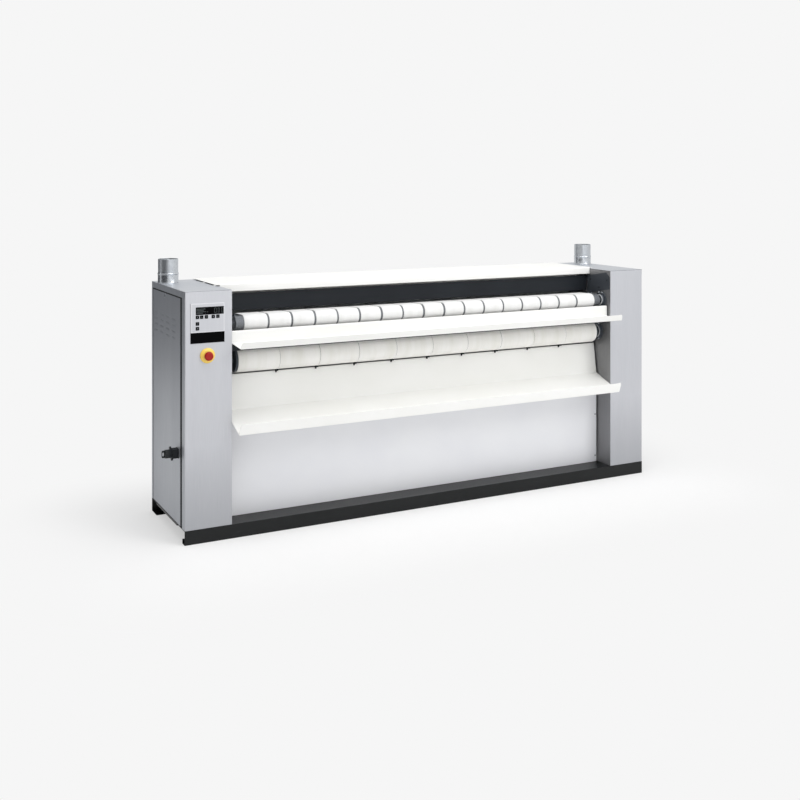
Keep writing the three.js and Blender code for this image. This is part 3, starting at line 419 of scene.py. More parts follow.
def knurled(name, roller, grooves):
    """Dark steel with that many grooves each way round the roller."""
    y, z, radius = round_part(roller)
    material = finish(name, (110, 113, 118), 0.42, metallic=0.75)
    about = node(material, "ShaderNodeSeparateXYZ", {0: place(material, offset=(0, -y, -z))})
    angle = maths("ARCTAN2", about.node.outputs["Y"], about.node.outputs["Z"])
    around = maths("MULTIPLY", angle, float(grooves))
    along = maths("MULTIPLY", about, grooves / radius)
    height = maths("MULTIPLY", maths("SINE", maths("ADD", along, around)),
                   maths("SINE", maths("SUBTRACT", along, around)))
    # Painted shade and highlight: the grooves are darker and the crests lighter, after the bump's
    # height.
    feed(material, "Base Color", blend(remap(height, -0.6, 0.6), (92, 95, 100), (152, 155, 160)))
    bump(material, height, 0.8, 0.0005)
    return material


roller_steel = knurled("roller_steel", "feed_roller_front", 60)
print("roller:", roller_steel.name)

# %% [markdown]
# ## Band cloth and plastics
# The bands are woven polyester. On Object coordinates the weave would smear where a belt bends, so it
# reads the belt's own UV map, in metres: u runs along the belt and v across it. Warp and weft are two
# sine waves a little over a millimetre apart. Heat and starch yellow the cloth in long patches, which
# are a noise stretched along the belt.


# %% Cloth and plastics
def woven(name, colour, stain, pitch=0.0016):
    """Plain weave: sin(2 pi u / pitch) times sin(2 pi v / pitch), with a soft fuzz."""
    material = finish(name, colour, 0.88, Sheen_Weight=0.25, Sheen_Roughness=0.5,
                      Specular_IOR_Level=0.2)
    where = node(material, "ShaderNodeUVMap", uv_map="belt")
    along = node(material, "ShaderNodeSeparateXYZ", {0: where})
    weave = maths("MULTIPLY", *(maths("SINE", maths("MULTIPLY", socket, 2 * math.pi / pitch))
                                for socket in (along, along.node.outputs["Y"])))
    patches = noise(vectors("MULTIPLY", where, (3, 19, 1)))
    tone = blend(remap(patches, 0.4, 0.68), colour, stain)
    threads = remap(weave, -1.0, 1.0, 0.0, 0.12)
    feed(material, "Base Color", blend(threads, tone, (206, 205, 199)))
    bump(material, weave, 0.4, 0.0004)
    return material


def plastic(name, colour, roughness, gloss=0.5):
    """Moulded plastic: one colour with a fine eroded skin. gloss is how much light it mirrors."""
    material = finish(name, colour, roughness, Specular_IOR_Level=gloss)
    grain = noise(place(material, (900, 900, 900)), detail=2.0)
    feed(material, "Roughness", remap(grain, 0.3, 0.7, roughness + 0.06, roughness - 0.05))
    bump(material, grain, 0.15, 0.0001)
    return material


band_cloth = woven("band_cloth", (252, 251, 248), (244, 243, 237))
feed_cloth = woven("feed_cloth", (238, 238, 238), (230, 230, 229))
black_gloss = plastic("black_gloss", (4, 4, 6), 0.2, gloss=0.03)
black_plastic = plastic("black_plastic", (30, 33, 37), 0.45, gloss=0.35)
yellow_plastic = plastic("yellow_plastic", (246, 208, 96), 0.38)
red_plastic = plastic("red_plastic", (158, 24, 20), 0.36, gloss=0.3)
# A pale plastic for the bearing rings: painted highlight, for the bright arc round the journals.
pale_ring_highlight = plastic("pale_ring_highlight", (216, 218, 220), 0.45)
print_dark = plastic("print_dark", (78, 83, 84), 0.4, gloss=0.1)
print_grey = plastic("print_grey", (112, 116, 118), 0.5, gloss=0.2)
print_pale = plastic("print_pale", (222, 222, 225), 0.5)
rubber = plastic("rubber", (34, 36, 39), 0.75, gloss=0.2)
print("finishes in all:", len(FINISHES))

# %% [markdown]
# ## CAD nodes that keep their shape
# Plates, channels, boxes and castings are right as they are, and to model them again would only risk
# their sizes. A live Weld and Bevel give them the small rounded edges that catch light on any real
# part, without a change to the mesh. Each gets the finish of its slot in the record, or a special one.

# %% Dress the kept nodes
EDGES = {"isolator_body": 0.002, "gear_motor": 0.004,
         "cylinder_bearing_left": 0.003, "cylinder_bearing_right": 0.003,
         "base_channel_front": 0.0012, "base_channel_rear": 0.0012,
         "top_cover_left": 0.0013, "top_cover_right": 0.0013}
SPECIAL = {"top_cover_left": shaded_top_steel, "top_cover_right": shaded_top_steel,
           "inner_plate_left": shaded_inner_steel, "inner_plate_right": shaded_inner_steel}


def dress(thing, material, edge):
    """The finish and the rounded edges of a CAD node, without a change to its mesh."""
    for slot in thing.material_slots:
        slot.material = material
    if not thing.material_slots:
        thing.data.materials.append(material)
    weld = thing.modifiers.new("joined_corners", "WELD")
    weld.merge_threshold = 0.00001
    round_edges(thing, edge)


for name, slot in SLOT_OF.items():
    dress(frame["nodes"][name], SPECIAL.get(name, FINISHES[slot]), EDGES.get(name, FINE_EDGE))
print("dressed:", len(SLOT_OF))

# %% [markdown]
# ## Folding sheet metal
# A press brake never leaves a sharp corner: the outside of a bend has a radius of one to three times
# the sheet. A plane with Solidify and Bevel could stand for it, but then the bend hangs on two
# modifiers. Here a panel is drawn as its bend line, each corner becomes an arc, the line is moved
# sideways by the thickness for the inner face, and the strip between them is pushed out along the
# third axis.


# %% Bend lines and folded sheets
def rounded(points, radius, steps=6, spacing=0.04):
    """The line through the points with an arc at each corner. An arc of that radius starts
    radius * tan(turn / 2) before the corner. Long legs get a point every spacing."""
    points = np.array(points, float)
    heading = np.arctan2(*np.diff(points, axis=0).T[::-1])
    turns = (np.diff(heading) + np.pi) % (2 * np.pi) - np.pi
    arcs = []
    for corner, start, turn in zip(points[1:-1], heading, turns):
        side = radius * np.sign(turn)
        before = corner - radius * np.tan(abs(turn) / 2) * np.array([np.cos(start), np.sin(start)])
        centre = before + side * np.array([-np.sin(start), np.cos(start)])
        angle = start + turn * np.linspace(0, 1, steps + 1)
        arcs.append(centre + side * np.stack([np.sin(angle), -np.cos(angle)], 1))
    line = np.concatenate([points[:1], *arcs, points[-1:]])
    gaps = np.hypot(*np.diff(line, axis=0).T)
    fill = [np.linspace(a, b, max(1, int(gap / spacing)), endpoint=False)
            for a, b, gap in zip(line[:-1], line[1:], gaps)]
    return np.concatenate(fill + [line[-1:]])


def beside(line, distance):
    """The line moved to its left: each point goes along the mean normal of its two legs, by the
    distance over the cosine of half the turn."""
    legs = np.diff(line, axis=0)
    normals = np.stack([-legs[:, 1], legs[:, 0]], 1) / np.hypot(*legs.T)[:, None]
    before, after = np.vstack([normals[:1], normals]), np.vstack([normals, normals[-1:]])
    mean = before + after
    mean /= np.hypot(*mean.T)[:, None]
    return line + distance * mean / np.einsum("ij,ij->i", mean, before)[:, None]


def carried(lines, axes, stack=1, closed=False):
    """The skin of flat lines, each with its place along the third axis. axes names where a line's
    two numbers and the third one go, such as yzx."""
    points = np.stack([np.column_stack([flat, np.broadcast_to(at, len(flat))]) for flat, at in lines],
                      stack)
    return skin(points[..., [axes.index(axis) for axis in "xyz"]], closed)


def folded(line, thickness, stations, axes="yzx", shift=None):
    """A sheet along a bend line that crosses the third axis at the stations, from its low end to its
    high end. A station is a number, or one for each point of the line where it runs at a slant.
    shift, one pair for each station and point, moves the sheet out of its own plane."""
    shift = np.zeros((len(stations), len(line), 2)) if shift is None else shift
    ring = [(line + move, reach) for move, reach in zip(shift, stations)]
    other = beside(line, thickness)
    ring += [(other + move, reach) for move, reach in zip(shift[::-1], stations[::-1])]
    return carried(ring, axes)


def plate(shape, low, high, axes="yzx"):
    """A flat outline pushed from low to high along the third axis."""
    return carried([(shape, low), (shape, high)], axes, stack=0)


def rim(shape, inside, low, high):
    """A frame between two outlines (x, z) with as many points each, from y low to high."""
    return carried([(shape, low), (shape, high), (inside, high), (inside, low)], "xzy", closed=True)


def outline(low, high, radii=0.0, steps=6):
    """A rectangle as a ring of points, with a quarter circle of its own radius at each corner. The
    corners come in the order low left, low right, high right, high left."""
    (left, foot), (right, head) = low, high
    corners = np.array([(left, foot), (right, foot), (right, head), (left, head)])
    inward = np.array([(1, 1), (-1, 1), (-1, -1), (1, -1)]) * np.broadcast_to(radii, 4)[:, None]
    angle = np.radians([[180], [270], [0], [90]] + np.linspace(0, 90, steps + 1))[..., None]
    arcs = np.concatenate([np.cos(angle), np.sin(angle)], 2) * np.broadcast_to(radii, 4)[:, None, None]
    return ((corners + inward)[:, None] + arcs).reshape(-1, 2)


print("a right-angle bend has", len(rounded([(0, 0), (0.1, 0), (0.1, 0.1)], 0.003)), "points")

# %% [markdown]
# ## Front covers
# Each cabinet has a brushed cover across its front that turns round the outer corner for 44 mm. A box
# could stand there, but it would show no edge where the return ends, so the cover is a folded sheet.
# The return stops lower, where the top cover's flange comes down over the side.

# %% Front covers
COVER_RETURN, CORNER_RADIUS, RETURN_HEAD = 0.044, 0.0045, 1.1297
CUT_FROM = FRONT + 0.0012


def shade_faces_behind(thing, material, beyond):
    """Gives the faces whose middle lies behind that y another finish: here the darker side steel, as
    painted shade.
    """
    mesh = thing.data
    mesh.materials.append(material)
    middles = np.zeros(len(mesh.polygons) * 3)
    mesh.polygons.foreach_get("center", middles)
    mesh.polygons.foreach_set("material_index", (middles[1::3] > beyond).astype(np.int32))


for side, outer in (("left", OUT_LEFT), ("right", OUT_RIGHT)):
    bend = rounded([(inner_face(side), FRONT), (outer, FRONT), (outer, FRONT + COVER_RETURN)],
                   CORNER_RADIUS, steps=8)
    head = np.where(bend[:, 1] > CUT_FROM, RETURN_HEAD, COVER_HIGH.z)
    cover = folded(bend, SIDES[side] * SHEET, (COVER_LOW.z, head), "xyz")
    made = piece(f"front_cover_sheet_{side}", [cover], brushed_steel, edge=FINE_EDGE,
                 instead_of=f"front_cover_{side}")
    # Painted shade: the return round the outer corner gets the darker side steel.
    shade_faces_behind(made, side_steel, FRONT + CORNER_RADIUS)
print("front covers from", round(COVER_LOW.z, 4), "to", round(COVER_HIGH.z, 4))

# %% [markdown]
# ## The white panels of the middle
# Hood, feed table, exit tray and lower panel are single sheets, 2.2 m long, and two end in a lip that
# leans outwards. At both ends of a lip, the corner beyond a slanting line is knocked back a little, so
# that nobody walks into it, and its tip is rounded. A boolean could cut the tip, but it would leave
# uneven faces, so the ends of the grid itself follow the shape.

# %% Hood, feed table, exit tray, lower panel
BEND, HEM, LIP_SPACING = 0.003, 0.014, 0.004
HOOD_REAR, HOOD_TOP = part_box("hood")[1].yz
HOOD_FRONT, HOOD_LIP, HOOD_HALF = FRONT + 0.188, HOOD_TOP - 0.036, INNER - 0.001
TABLE_FACE, TABLE_TOP = FRONT + 0.025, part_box("feed_table")[1].z - SHEET
TABLE_LIP_Y, TABLE_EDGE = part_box("feed_table")[0].yz
TABLE_SHELF = TABLE_EDGE + 0.011
TABLE_LIP = (TABLE_LIP_Y + 0.014, TABLE_EDGE), (TABLE_LIP_Y, TABLE_EDGE + 0.032)
CHUTE_Y, CHUTE_TOP = FRONT + 0.145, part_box("exit_tray")[1].z
TRAY_LIP_Y, TRAY_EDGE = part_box("exit_tray")[0].yz
TRAY_LIP = (TRAY_LIP_Y + 0.026, TRAY_EDGE), (TRAY_LIP_Y, TRAY_EDGE + 0.054)
PANEL_Y, PANEL_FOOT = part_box("lower_front_panel")[0].yz
PANEL_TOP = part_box("lower_front_panel")[1].z


def lipped(line, foot, head, tip, corner=0.032, back=math.radians(12)):
    """A sheet whose last leg is a lip from foot to head, both (y, z). Its corners are knocked back
    about a line that runs, from the foot to the head, a corner's width inwards. A point at a distance
    d from that line moves by d * sin(back) along the lip's inward normal. Its tip is a quarter of an
    ellipse: tip * (1 - sqrt(1 - t^2)) off the end, with t from 0 to 1 over the last 2 * tip."""
    rise, lean = head[1] - foot[1], foot[0] - head[0]
    parts = (line[:, 1] - foot[1]) / rise, (line[:, 1] - head[1]) / (2 * tip) + 1
    climb, t = np.where(line[:, 0] < foot[0], np.clip(parts, 0, 1), 0)
    end = PANEL_HALF - tip * (1 - np.sqrt(1 - t ** 2))
    knee = np.minimum(PANEL_HALF - corner * climb, end)
    away = (end - knee) / math.hypot(rise, lean, corner) * math.sin(back)
    moved = away[:, None] * (rise, lean)
    return folded(line, -SHEET, (MIDDLE - end, MIDDLE - knee, MIDDLE + knee, MIDDLE + end),
                  shift=np.stack([moved, 0 * moved, 0 * moved, moved]))


hood_line = rounded([(HOOD_FRONT + HEM, HOOD_LIP), (HOOD_FRONT, HOOD_LIP), (HOOD_FRONT, HOOD_TOP),
                     (HOOD_REAR, HOOD_TOP), (HOOD_REAR, HOOD_LIP)], BEND)
table_line = rounded([(TABLE_FACE + HEM, TABLE_TOP), (TABLE_FACE, TABLE_TOP),
                      (TABLE_FACE, TABLE_SHELF), *TABLE_LIP], BEND, spacing=LIP_SPACING)
tray_line = rounded([(CHUTE_Y, CHUTE_TOP), (FRONT + 0.120, TRAY_EDGE + 0.076), *TRAY_LIP], BEND,
                    spacing=LIP_SPACING)
panel_line = rounded([(PANEL_Y + HEM, PANEL_TOP), (PANEL_Y, PANEL_TOP), (PANEL_Y, PANEL_FOOT)], BEND)
hood = folded(hood_line, -SHEET, (MIDDLE - HOOD_HALF, MIDDLE + HOOD_HALF))
lower_panel = folded(panel_line, SHEET, (MIDDLE - PANEL_HALF, MIDDLE + PANEL_HALF))
for name, sheet, material, solid in (
        ("hood_sheet", hood, upper_enamel, "hood"),
        ("feed_table_sheet", lipped(table_line, *TABLE_LIP, 0.012), upper_enamel, "feed_table"),
        ("exit_tray_sheet", lipped(tray_line, *TRAY_LIP, 0.010), white_enamel, "exit_tray"),
        ("lower_panel_sheet", lower_panel, cool_enamel, "lower_front_panel")):
    made = piece(name, [sheet], material, instead_of=solid, edge=FINE_EDGE)
    print(name, "faces:", len(made.data.polygons))

# %% [markdown]
# ## Turned parts
# A profile of radius and distance along the axis, carried round in a circle, makes rollers, rings,
# pipes and bolt heads. Blender's Screw could turn it, but not with a hexagon and a circle on one
# profile. Here a row may be a polygon: the distance to a side's line at angle a is the flat radius
# over cos(a to its middle).


# %% Turned surfaces
def turned(profile, centre, axis="x", way=1, columns=48, hollow=False, ribs=0, depth=0.0):
    """Row i of the grid is a circle of radius profile[i][0], at way * profile[i][1] along the axis
    from the centre. A third number makes the row a polygon with that many sides or, if ribs are
    asked for, is a factor on their depth: the radius shrinks by factor * depth * (1 - cos(ribs *
    angle)) / 2. A hollow profile closes on itself, any other is capped or starts on the axis."""
    rows = np.array([(*row, 0)[:3] for row in profile], float)
    along, across, up = np.roll(np.eye(3), -"xyz".index(axis), axis=0)
    angle = np.linspace(0, 2 * np.pi, columns, endpoint=False)
    radius, reach, third = rows.T[..., None]
    if ribs:
        radius = radius - third * depth * (1 - np.cos(ribs * angle)) / 2
    else:
        pitch = 2 * np.pi / np.where(third > 0, third, 1)
        off = (angle + pitch / 2) % pitch - pitch / 2
        radius = radius / np.where(third > 0, np.cos(off), 1)
    ring = radius[..., None] * (np.cos(angle)[:, None] * across + np.sin(angle)[:, None] * up)
    return skin(np.array(centre, float) + way * reach[..., None] * along + ring, hollow)


def barrel(radius, half, journal, left, right, sleeve=0.004, wall=0.004, disc=0.012, chamfer=0.0015):
    """Profile of a hollow roller with an end disc and a hollow journal on each side: out along the
    journals and the barrel, back along the bore, with steps at -half and half."""
    bore, edge = journal - sleeve, journal - 0.001
    return [
        (bore, left), (edge, left), (journal, left + 0.001), (journal, -half),
        (radius - chamfer, -half), (radius, -half + chamfer), (radius, half - chamfer),
        (radius - chamfer, half), (journal, half), (journal, right - 0.001), (edge, right),
        (bore, right), (bore, half - disc), (radius - wall, half - disc),
        (radius - wall, disc - half), (bore, disc - half)]


# %% [markdown]
# ## Rollers and the heated cylinder
# Each is a tube with a welded disc and a journal at both ends. Plain cylinders would do behind the
# bands, but the discs and journals show beside them, so the whole profile is turned. The gap to the
# side plate and the journal's radius are the shop's numbers; all else is read from the frame.

# %% Rollers and cylinder
ROLLERS = {  # node: body, gap from the barrel's end to the side plate, journal radius, finish
    "feed_roller_front": ("front_feed_roller", 0.036, 0.012, roller_steel),
    "feed_roller_rear": ("rear_feed_roller", 0.065, 0.008, cast_metal),
    "exit_roller": ("exit_roller", 0.041, 0.015, cast_metal),
    "return_roller_top": ("top_return_roller", 0.041, 0.008, polished_steel),
    "return_roller_back": ("back_return_roller", 0.041, 0.010, polished_steel),
    "return_roller_low": ("low_return_roller", 0.041, 0.010, polished_steel),
    "heated_cylinder": ("cylinder", 0.015, 0.050, polished_steel)}
HEAVY = {"heated_cylinder": {"sleeve": 0.010, "wall": 0.006, "disc": 0.010, "chamfer": 0.003}}

for name, (body, gap, journal, steel) in ROLLERS.items():
    y, z, radius = round_part(name)
    left, right = (corner.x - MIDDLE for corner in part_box(name))
    profile = barrel(radius, INNER - gap, journal, left, right, **HEAVY.get(name, {}))
    piece(f"{name}_turned",
          [turned(profile, (MIDDLE, y, z), columns=144 if name in HEAVY else 72, hollow=True)],
          steel, body=body, instead_of=name, crease=30)
print("rollers:", len(ROLLERS), "cylinder radius:", round(radius, 4))

# %% [markdown]
# ## The bands
# An endless band runs straight from wheel to wheel and bends round each. A curve object could follow
# the wheels, but its points would have to be found by hand. Here the heading of a straight run follows
# from the two circles that it touches, and an arc joins two headings. The belt is a flat strip with
# rounded edges, carried along that loop, and its UV map keeps the distance run, so that the weave
# bends with it.


# %% Endless bands
def loop(wheels, step=math.radians(7.5), spacing=0.03):
    """Middle line of a band round wheels (y, z, radius, turn), turn being -1 where the wheel lies
    outside the loop. The run from one wheel to the next has the slope between their middles plus
    asin((turn * radius - next turn * next radius) / distance). Returns the points (y, z), their
    outward normals and the distance run."""
    y, z, r, turn = np.array(wheels, float).T
    r = turn * r
    dy, dz = np.roll(y, -1) - y, np.roll(z, -1) - z
    heading = np.arctan2(dz, dy) + np.arcsin((r - np.roll(r, -1)) / np.hypot(dy, dz))
    arcs, lines = [], []
    for i in range(len(y)):
        sweep = turn[i] * ((heading[i] - heading[i - 1]) * turn[i] % (2 * np.pi))
        at = heading[i - 1] + sweep * np.linspace(0, 1, max(3, math.ceil(abs(sweep) / step)) + 1)
        arcs.append(np.stack([y[i] + r[i] * np.sin(at), z[i] - r[i] * np.cos(at), at], 1))
    for arc, after in zip(arcs, arcs[1:] + arcs[:1]):
        end, start = arc[-1], np.array([*after[0, :2], arc[-1, 2]])
        count = max(2, int(np.hypot(*(start - end)[:2]) / spacing))
        lines += [arc, np.linspace(end, start, count, endpoint=False)[1:]]
    line = np.concatenate(lines)
    run = np.hypot(*(np.roll(line, -1, 0) - line)[:, :2].T)
    normal = np.stack([np.sin(line[:, 2]), -np.cos(line[:, 2])], 1)
    return line[:, :2], normal, np.concatenate([[0], np.cumsum(run)])


def strip(width, thickness, steps=6):
    """Section of a belt as a ring of (across, out): half circles joined by straight faces."""
    angle = np.linspace(0, np.pi, steps + 1)
    edge = thickness / 2
    cap = np.stack([width / 2 - edge + edge * np.sin(angle), edge * np.cos(angle)], 1)
    return np.concatenate([cap, -cap])


def belts(name, wheels, thickness, spans, material, instead_of):
    """One object of several belts side by side, each from its left to its right edge. A point of the
    section lies at x = middle + across, and at (y, z) = line + out * normal."""
    line, normal, run = loop(wheels)
    skins = []
    for left, right in spans:
        across, out = strip(right - left, thickness).T
        x = np.broadcast_to((left + right) / 2 + across, (len(line), len(across)))
        y, z = line.T[..., None] + normal.T[..., None] * out
        skins.append(skin(np.stack([x, y, z], -1), closed=True))
    made = piece(name, skins, material, instead_of=instead_of)
    lay_uv(made.data, line, run)
    print(name, "faces:", len(made.data.polygons))


def lay_uv(mesh, line, run):
    """UV map in metres: u is the distance run at the nearest point of the belt's line, v is x.
    In the one row of faces where u would fall back to 0, the whole length is added instead."""
    corners = np.zeros(len(mesh.vertices) * 3)
    mesh.vertices.foreach_get("co", corners)
    corners = corners.reshape(-1, 3)
    index = np.zeros(len(mesh.loops), int)
    mesh.loops.foreach_get("vertex_index", index)
    nearest = ((corners[:, None, 1:] - line[None]) ** 2).sum(-1).argmin(1)
    u = run[nearest][index].reshape(-1, 4)
    u += np.where(u.max(1, keepdims=True) - u > run[-1] / 2, run[-1], 0.0)
    layer = mesh.uv_layers.new(name="belt")
    layer.data.foreach_set("uv", np.column_stack([u.ravel(), corners[index, 0]]).ravel())


# %% [markdown]
# ## Feed bands and ironing bands
# The feed bands are a hand wide with a finger's width between them. The ironing bands are wider and
# lie edge to edge, with only a fine dark line between neighbours. An Array could set them out evenly,
# but real belts wander a little on their rollers, so each edge gets a drift of its own, of up to a
# millimetre for the feed bands.

# %% Feed and ironing bands
RUNNING_GAP = 0.0006
FEED_THICKNESS, FEED_BANDS, FEED_GAP = 0.0024, 17, 0.0098
IRON_THICKNESS, IRON_BANDS, IRON_GAP = 0.0030, 10, 0.0016
WANDER = np.random.default_rng(7)


def wheel(name, thickness, turn=1):
    """A wheel for the middle line of a band of that thickness on a CAD roller."""
    y, z, radius = round_part(name)
    return y, z, radius + RUNNING_GAP + thickness / 2, turn


def side_by_side(name, count, gap, wander):
    """Left and right edges of equal belts that fill a CAD node's length: neighbours meet at
    low + i * length / count, half a gap off each, and every inner edge drifts by up to wander."""
    low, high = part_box(name)
    edges = np.linspace(low.x, high.x, count + 1)
    left, right = edges[:-1] + gap / 2, edges[1:] - gap / 2
    left[0], right[-1] = edges[0], edges[-1]
    drift = WANDER.uniform(-wander, wander, (2, count - 1))
    left[1:] += drift[0]
    right[:-1] += drift[1]
    return list(zip(left, right))


belts("feed_belts", [wheel(f"feed_roller_{end}", FEED_THICKNESS) for end in ("front", "rear")],
      FEED_THICKNESS, side_by_side("feed_bands", FEED_BANDS, FEED_GAP, 0.001), feed_cloth, "feed_bands")
iron_wheels = [wheel(name, IRON_THICKNESS, -1 if name in HEAVY else 1) for name in (
    "exit_roller", "return_roller_low", "return_roller_back", "return_roller_top", "heated_cylinder")]
belts("ironing_belts", iron_wheels, IRON_THICKNESS,
      side_by_side("ironing_bands", IRON_BANDS, IRON_GAP, 0.0003), band_cloth, "ironing_bands")

# %% [markdown]
# ## Flues
# Each exhaust pipe is rolled from zinc sheet and closed by a lock seam that stands a little proud. The
# seam could be a bump, but it shows in the outline, so the turned wall itself swells there. The lower
# length is newer and smoother, with a rolled bead round its mouth where the pipe pushes in.

# %% Flues
PIPE_RADIUS, PIPE_WALL = 0.049, 0.0012
SOCKET_RADIUS, SOCKET_BORE = PIPE_RADIUS + 0.0013, PIPE_RADIUS + 0.0001
MOUTH = TOP + 0.052


def pipe(profile, centre, seam):
    """A turned, hollow wall with a lock seam: the radius grows by 1 mm * exp(-(d / 4 mm)^2), where
    d is the distance round the pipe from the seam."""
    corners, groups = turned(profile, centre, "z", columns=96, hollow=True)
    flat = corners[:, :2] - centre[:2]
    off = (np.arctan2(flat[:, 1], flat[:, 0]) - seam + np.pi) % (2 * np.pi) - np.pi
    raised = 0.001 * np.exp(-(off * PIPE_RADIUS / 0.004) ** 2)
    corners[:, :2] += flat * (raised / np.hypot(*flat.T))[:, None]
    return corners, groups


socket_profile = [(SOCKET_BORE, TOP + FIT), (SOCKET_RADIUS + 0.0025, TOP + FIT),
                  (SOCKET_RADIUS + 0.0025, TOP + 0.0015), (SOCKET_RADIUS + 0.001, TOP + 0.002),
                  (SOCKET_RADIUS, TOP + 0.004)]
socket_profile += [(SOCKET_RADIUS + proud, MOUTH - below) for proud, below in (
    (0, 0.012), (0.0012, 0.010), (0.0016, 0.008), (0.0012, 0.006), (0, 0.004), (0, 0))]
socket_profile.append((SOCKET_BORE, MOUTH))
for side, seam in (("left", -0.35), ("right", -2.2)):
    low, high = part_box(f"flue_{side}")
    centre = ((low.x + high.x) / 2, (low.y + high.y) / 2, 0)
    inside, edge = PIPE_RADIUS - PIPE_WALL, high.z - PIPE_WALL / 2
    profile = [(inside, low.z), (PIPE_RADIUS, low.z), (PIPE_RADIUS, edge),
               (PIPE_RADIUS - PIPE_WALL / 2, high.z), (inside, edge)]
    piece(f"flue_pipe_{side}", [pipe(profile, centre, seam)], galvanised_steel,
          instead_of=f"flue_{side}", crease=30)
    piece(f"flue_socket_{side}", [pipe(socket_profile, centre, seam)], zinc_socket, crease=30)
print("flue mouth at", round(MOUTH, 4))

# %% [markdown]
# ## Louvres
# An air slot is pressed, not cut out: the sheet is slit along its lower edge and pushed outwards, which
# keeps drips and lint out. To displace the whole panel would take thousands of faces, so each louvre is
# a small grid of its own. Its height above the panel grows from its top edge to its open lower edge,
# and falls to nothing at both ends.

# %% Louvres over the slots
LOUVRE_LENGTH, LOUVRE_HEIGHT, LOUVRE_RISE, LOUVRE_WALL = 0.064, 0.008, 0.0019, 0.0007
SLOT_ROWS = TOP - 0.148 - 0.029 * np.arange(4)
SLOT_COLUMNS = BACK - 0.074 - 0.108 * np.arange(4)


def louvre(x, sign, y, z):
    """Its rise is e(u) * sin(pi v / 2), v from 0 at the top to 1 at the open edge, and e(u) the
    square root of 1 - (2 u)^6, u from -1/2 to 1/2 along the slot. The wall goes on inwards."""
    u, v = np.meshgrid(np.sin(np.linspace(-np.pi / 2, np.pi / 2, 13)) / 2, np.linspace(0, 1, 6),
                       indexing="ij")
    rise = LOUVRE_RISE * np.sqrt(np.clip(1 - (2 * u) ** 6, 0, 1)) * np.sin(np.pi / 2 * v)
    outer = x + sign * (rise - 0.0001)
    along, up = y + LOUVRE_LENGTH * u, z + LOUVRE_HEIGHT * (0.55 - 1.02 * v)
    inner = np.stack([outer - sign * LOUVRE_WALL, along, up], -1)
    return skin(np.concatenate([np.stack([outer, along, up], -1), inner[:, ::-1]], 1))


for side, sign in SIDES.items():
    rows = [louvre(panel_face(side), sign, y, z) for y in SLOT_COLUMNS for z in SLOT_ROWS]
    piece(f"louvres_{side}", rows, side_steel, crease=50)
print("louvres:", 2 * len(rows))

# %% [markdown]
# ## Screws and bolts
# A screw head is a turned profile with hexagonal rows for its socket, and a bolt head is one with
# hexagonal rows outside. Copies of one mesh could be placed instead, but a head that is worked out
# where it stands needs no turning, and many heads become one piece.


# %% Fasteners
def screw(centre, axis, way, radius=0.004, height=0.0022):
    """A domed head with a hex socket. way is 1 or -1 along the axis. The rows of its profile are
    shares of radius and height; those of the socket are hexagons."""
    socket, floor = radius * 0.42, height * 0.4
    profile = [(radius, 0), (radius, height * 0.45), (radius * 0.86, height * 0.85),
               (radius * 0.62, height), (socket, height, 6), (socket, floor, 6), (0, floor)]
    return turned(profile, centre, axis, way, 24)


def bolt(centre, axis, way, across=0.009, height=0.0065, washer=0.0012):
    """A hexagon head with a chamfered top on a washer. across is measured over its flats."""
    flat = across / 2
    profile = [(flat * 1.5, 0), (flat * 1.5, washer), (flat, washer, 6), (flat, height * 0.8, 6),
               (flat * 0.92, height), (0, height)]
    return turned(profile, centre, axis, way, 24)


print("a screw has", len(screw((0, 0, 0), "x", 1)[0]), "corners")

# %% [markdown]
# ## Bearings on the inner faces
# The feed and exit rollers turn in flanged bearings on the cabinets' inner faces: a dark cast housing,
# a pale plastic ring that holds the seal, and four bolts. The ring is made pale as painted highlight,
# for the bright arc at its edge. One disc would hide the journal's hole as well, but the ring and the
# bolts are what the eye finds there. All are profiles turned about the roller's axis.

# %% Roller bearings
BEARING = 0.015  # how far a housing stands out of the inner face
HOUSINGS = {  # roller: radius of the flange, of the bright ring, and the bolts' places
    "feed_roller_front": (0.0465, 0.0300, (0.0134, 0.0395)),
    "feed_roller_rear": (0.0290, 0.0170, (0.0160, 0.0170)),
    "exit_roller": (0.0480, 0.0385, (0.0155, 0.0415))}

for side, sign in SIDES.items():
    housings, seals, bolts = [], [], []
    for roller, (flange, ring, (dy, dz)) in HOUSINGS.items():
        y, z, _ = round_part(roller)
        shaft = ROLLERS[roller][2] + 0.0008
        housing = [(shaft, FIT), (flange - 0.001, FIT), (flange, 0.001), (flange, 0.005),
                   (flange - 0.0015, 0.0065), (ring + 0.003, 0.0075), (ring + 0.001, BEARING - 0.002),
                   (ring - 0.001, BEARING), (shaft, BEARING)]
        seal = [(ring - 0.006, BEARING), (ring - 0.0005, BEARING), (ring, BEARING + 0.0008),
                (ring - 0.0012, BEARING + 0.0022), (ring - 0.006, BEARING + 0.0012)]
        nut = [(shaft, BEARING), (shaft + 0.0045, BEARING, 6), (shaft + 0.0045, BEARING + 0.004, 6),
               (shaft, BEARING + 0.004)]
        for found, profile, columns in ((housings, housing, 60), (seals, seal, 60), (bolts, nut, 48)):
            found.append(turned(profile, (inner_face(side), y, z), "x", -sign, columns, hollow=True))
        bolts += [bolt((inner_face(side, 0.0062), y + a * dy, z + b * dz), "x", -sign)
                  for a in (-1, 1) for b in (-1, 1)]
    piece(f"bearing_housings_{side}", housings, cast_metal, crease=30)
    # Painted highlight: the rings are pale.
    piece(f"bearing_rings_{side}", seals, pale_ring_highlight, crease=30)
    piece(f"bearing_bolts_{side}", bolts, polished_steel, crease=30)
print("bearings:", 2 * len(HOUSINGS))

# %% [markdown]
# ## Guard arms
# The finger guard hangs between two flat plates on the inner faces, which slope down towards the bands,
# with the top front corner cut away. A box could be cut to that, but five corners pushed out to the
# thickness say the same.

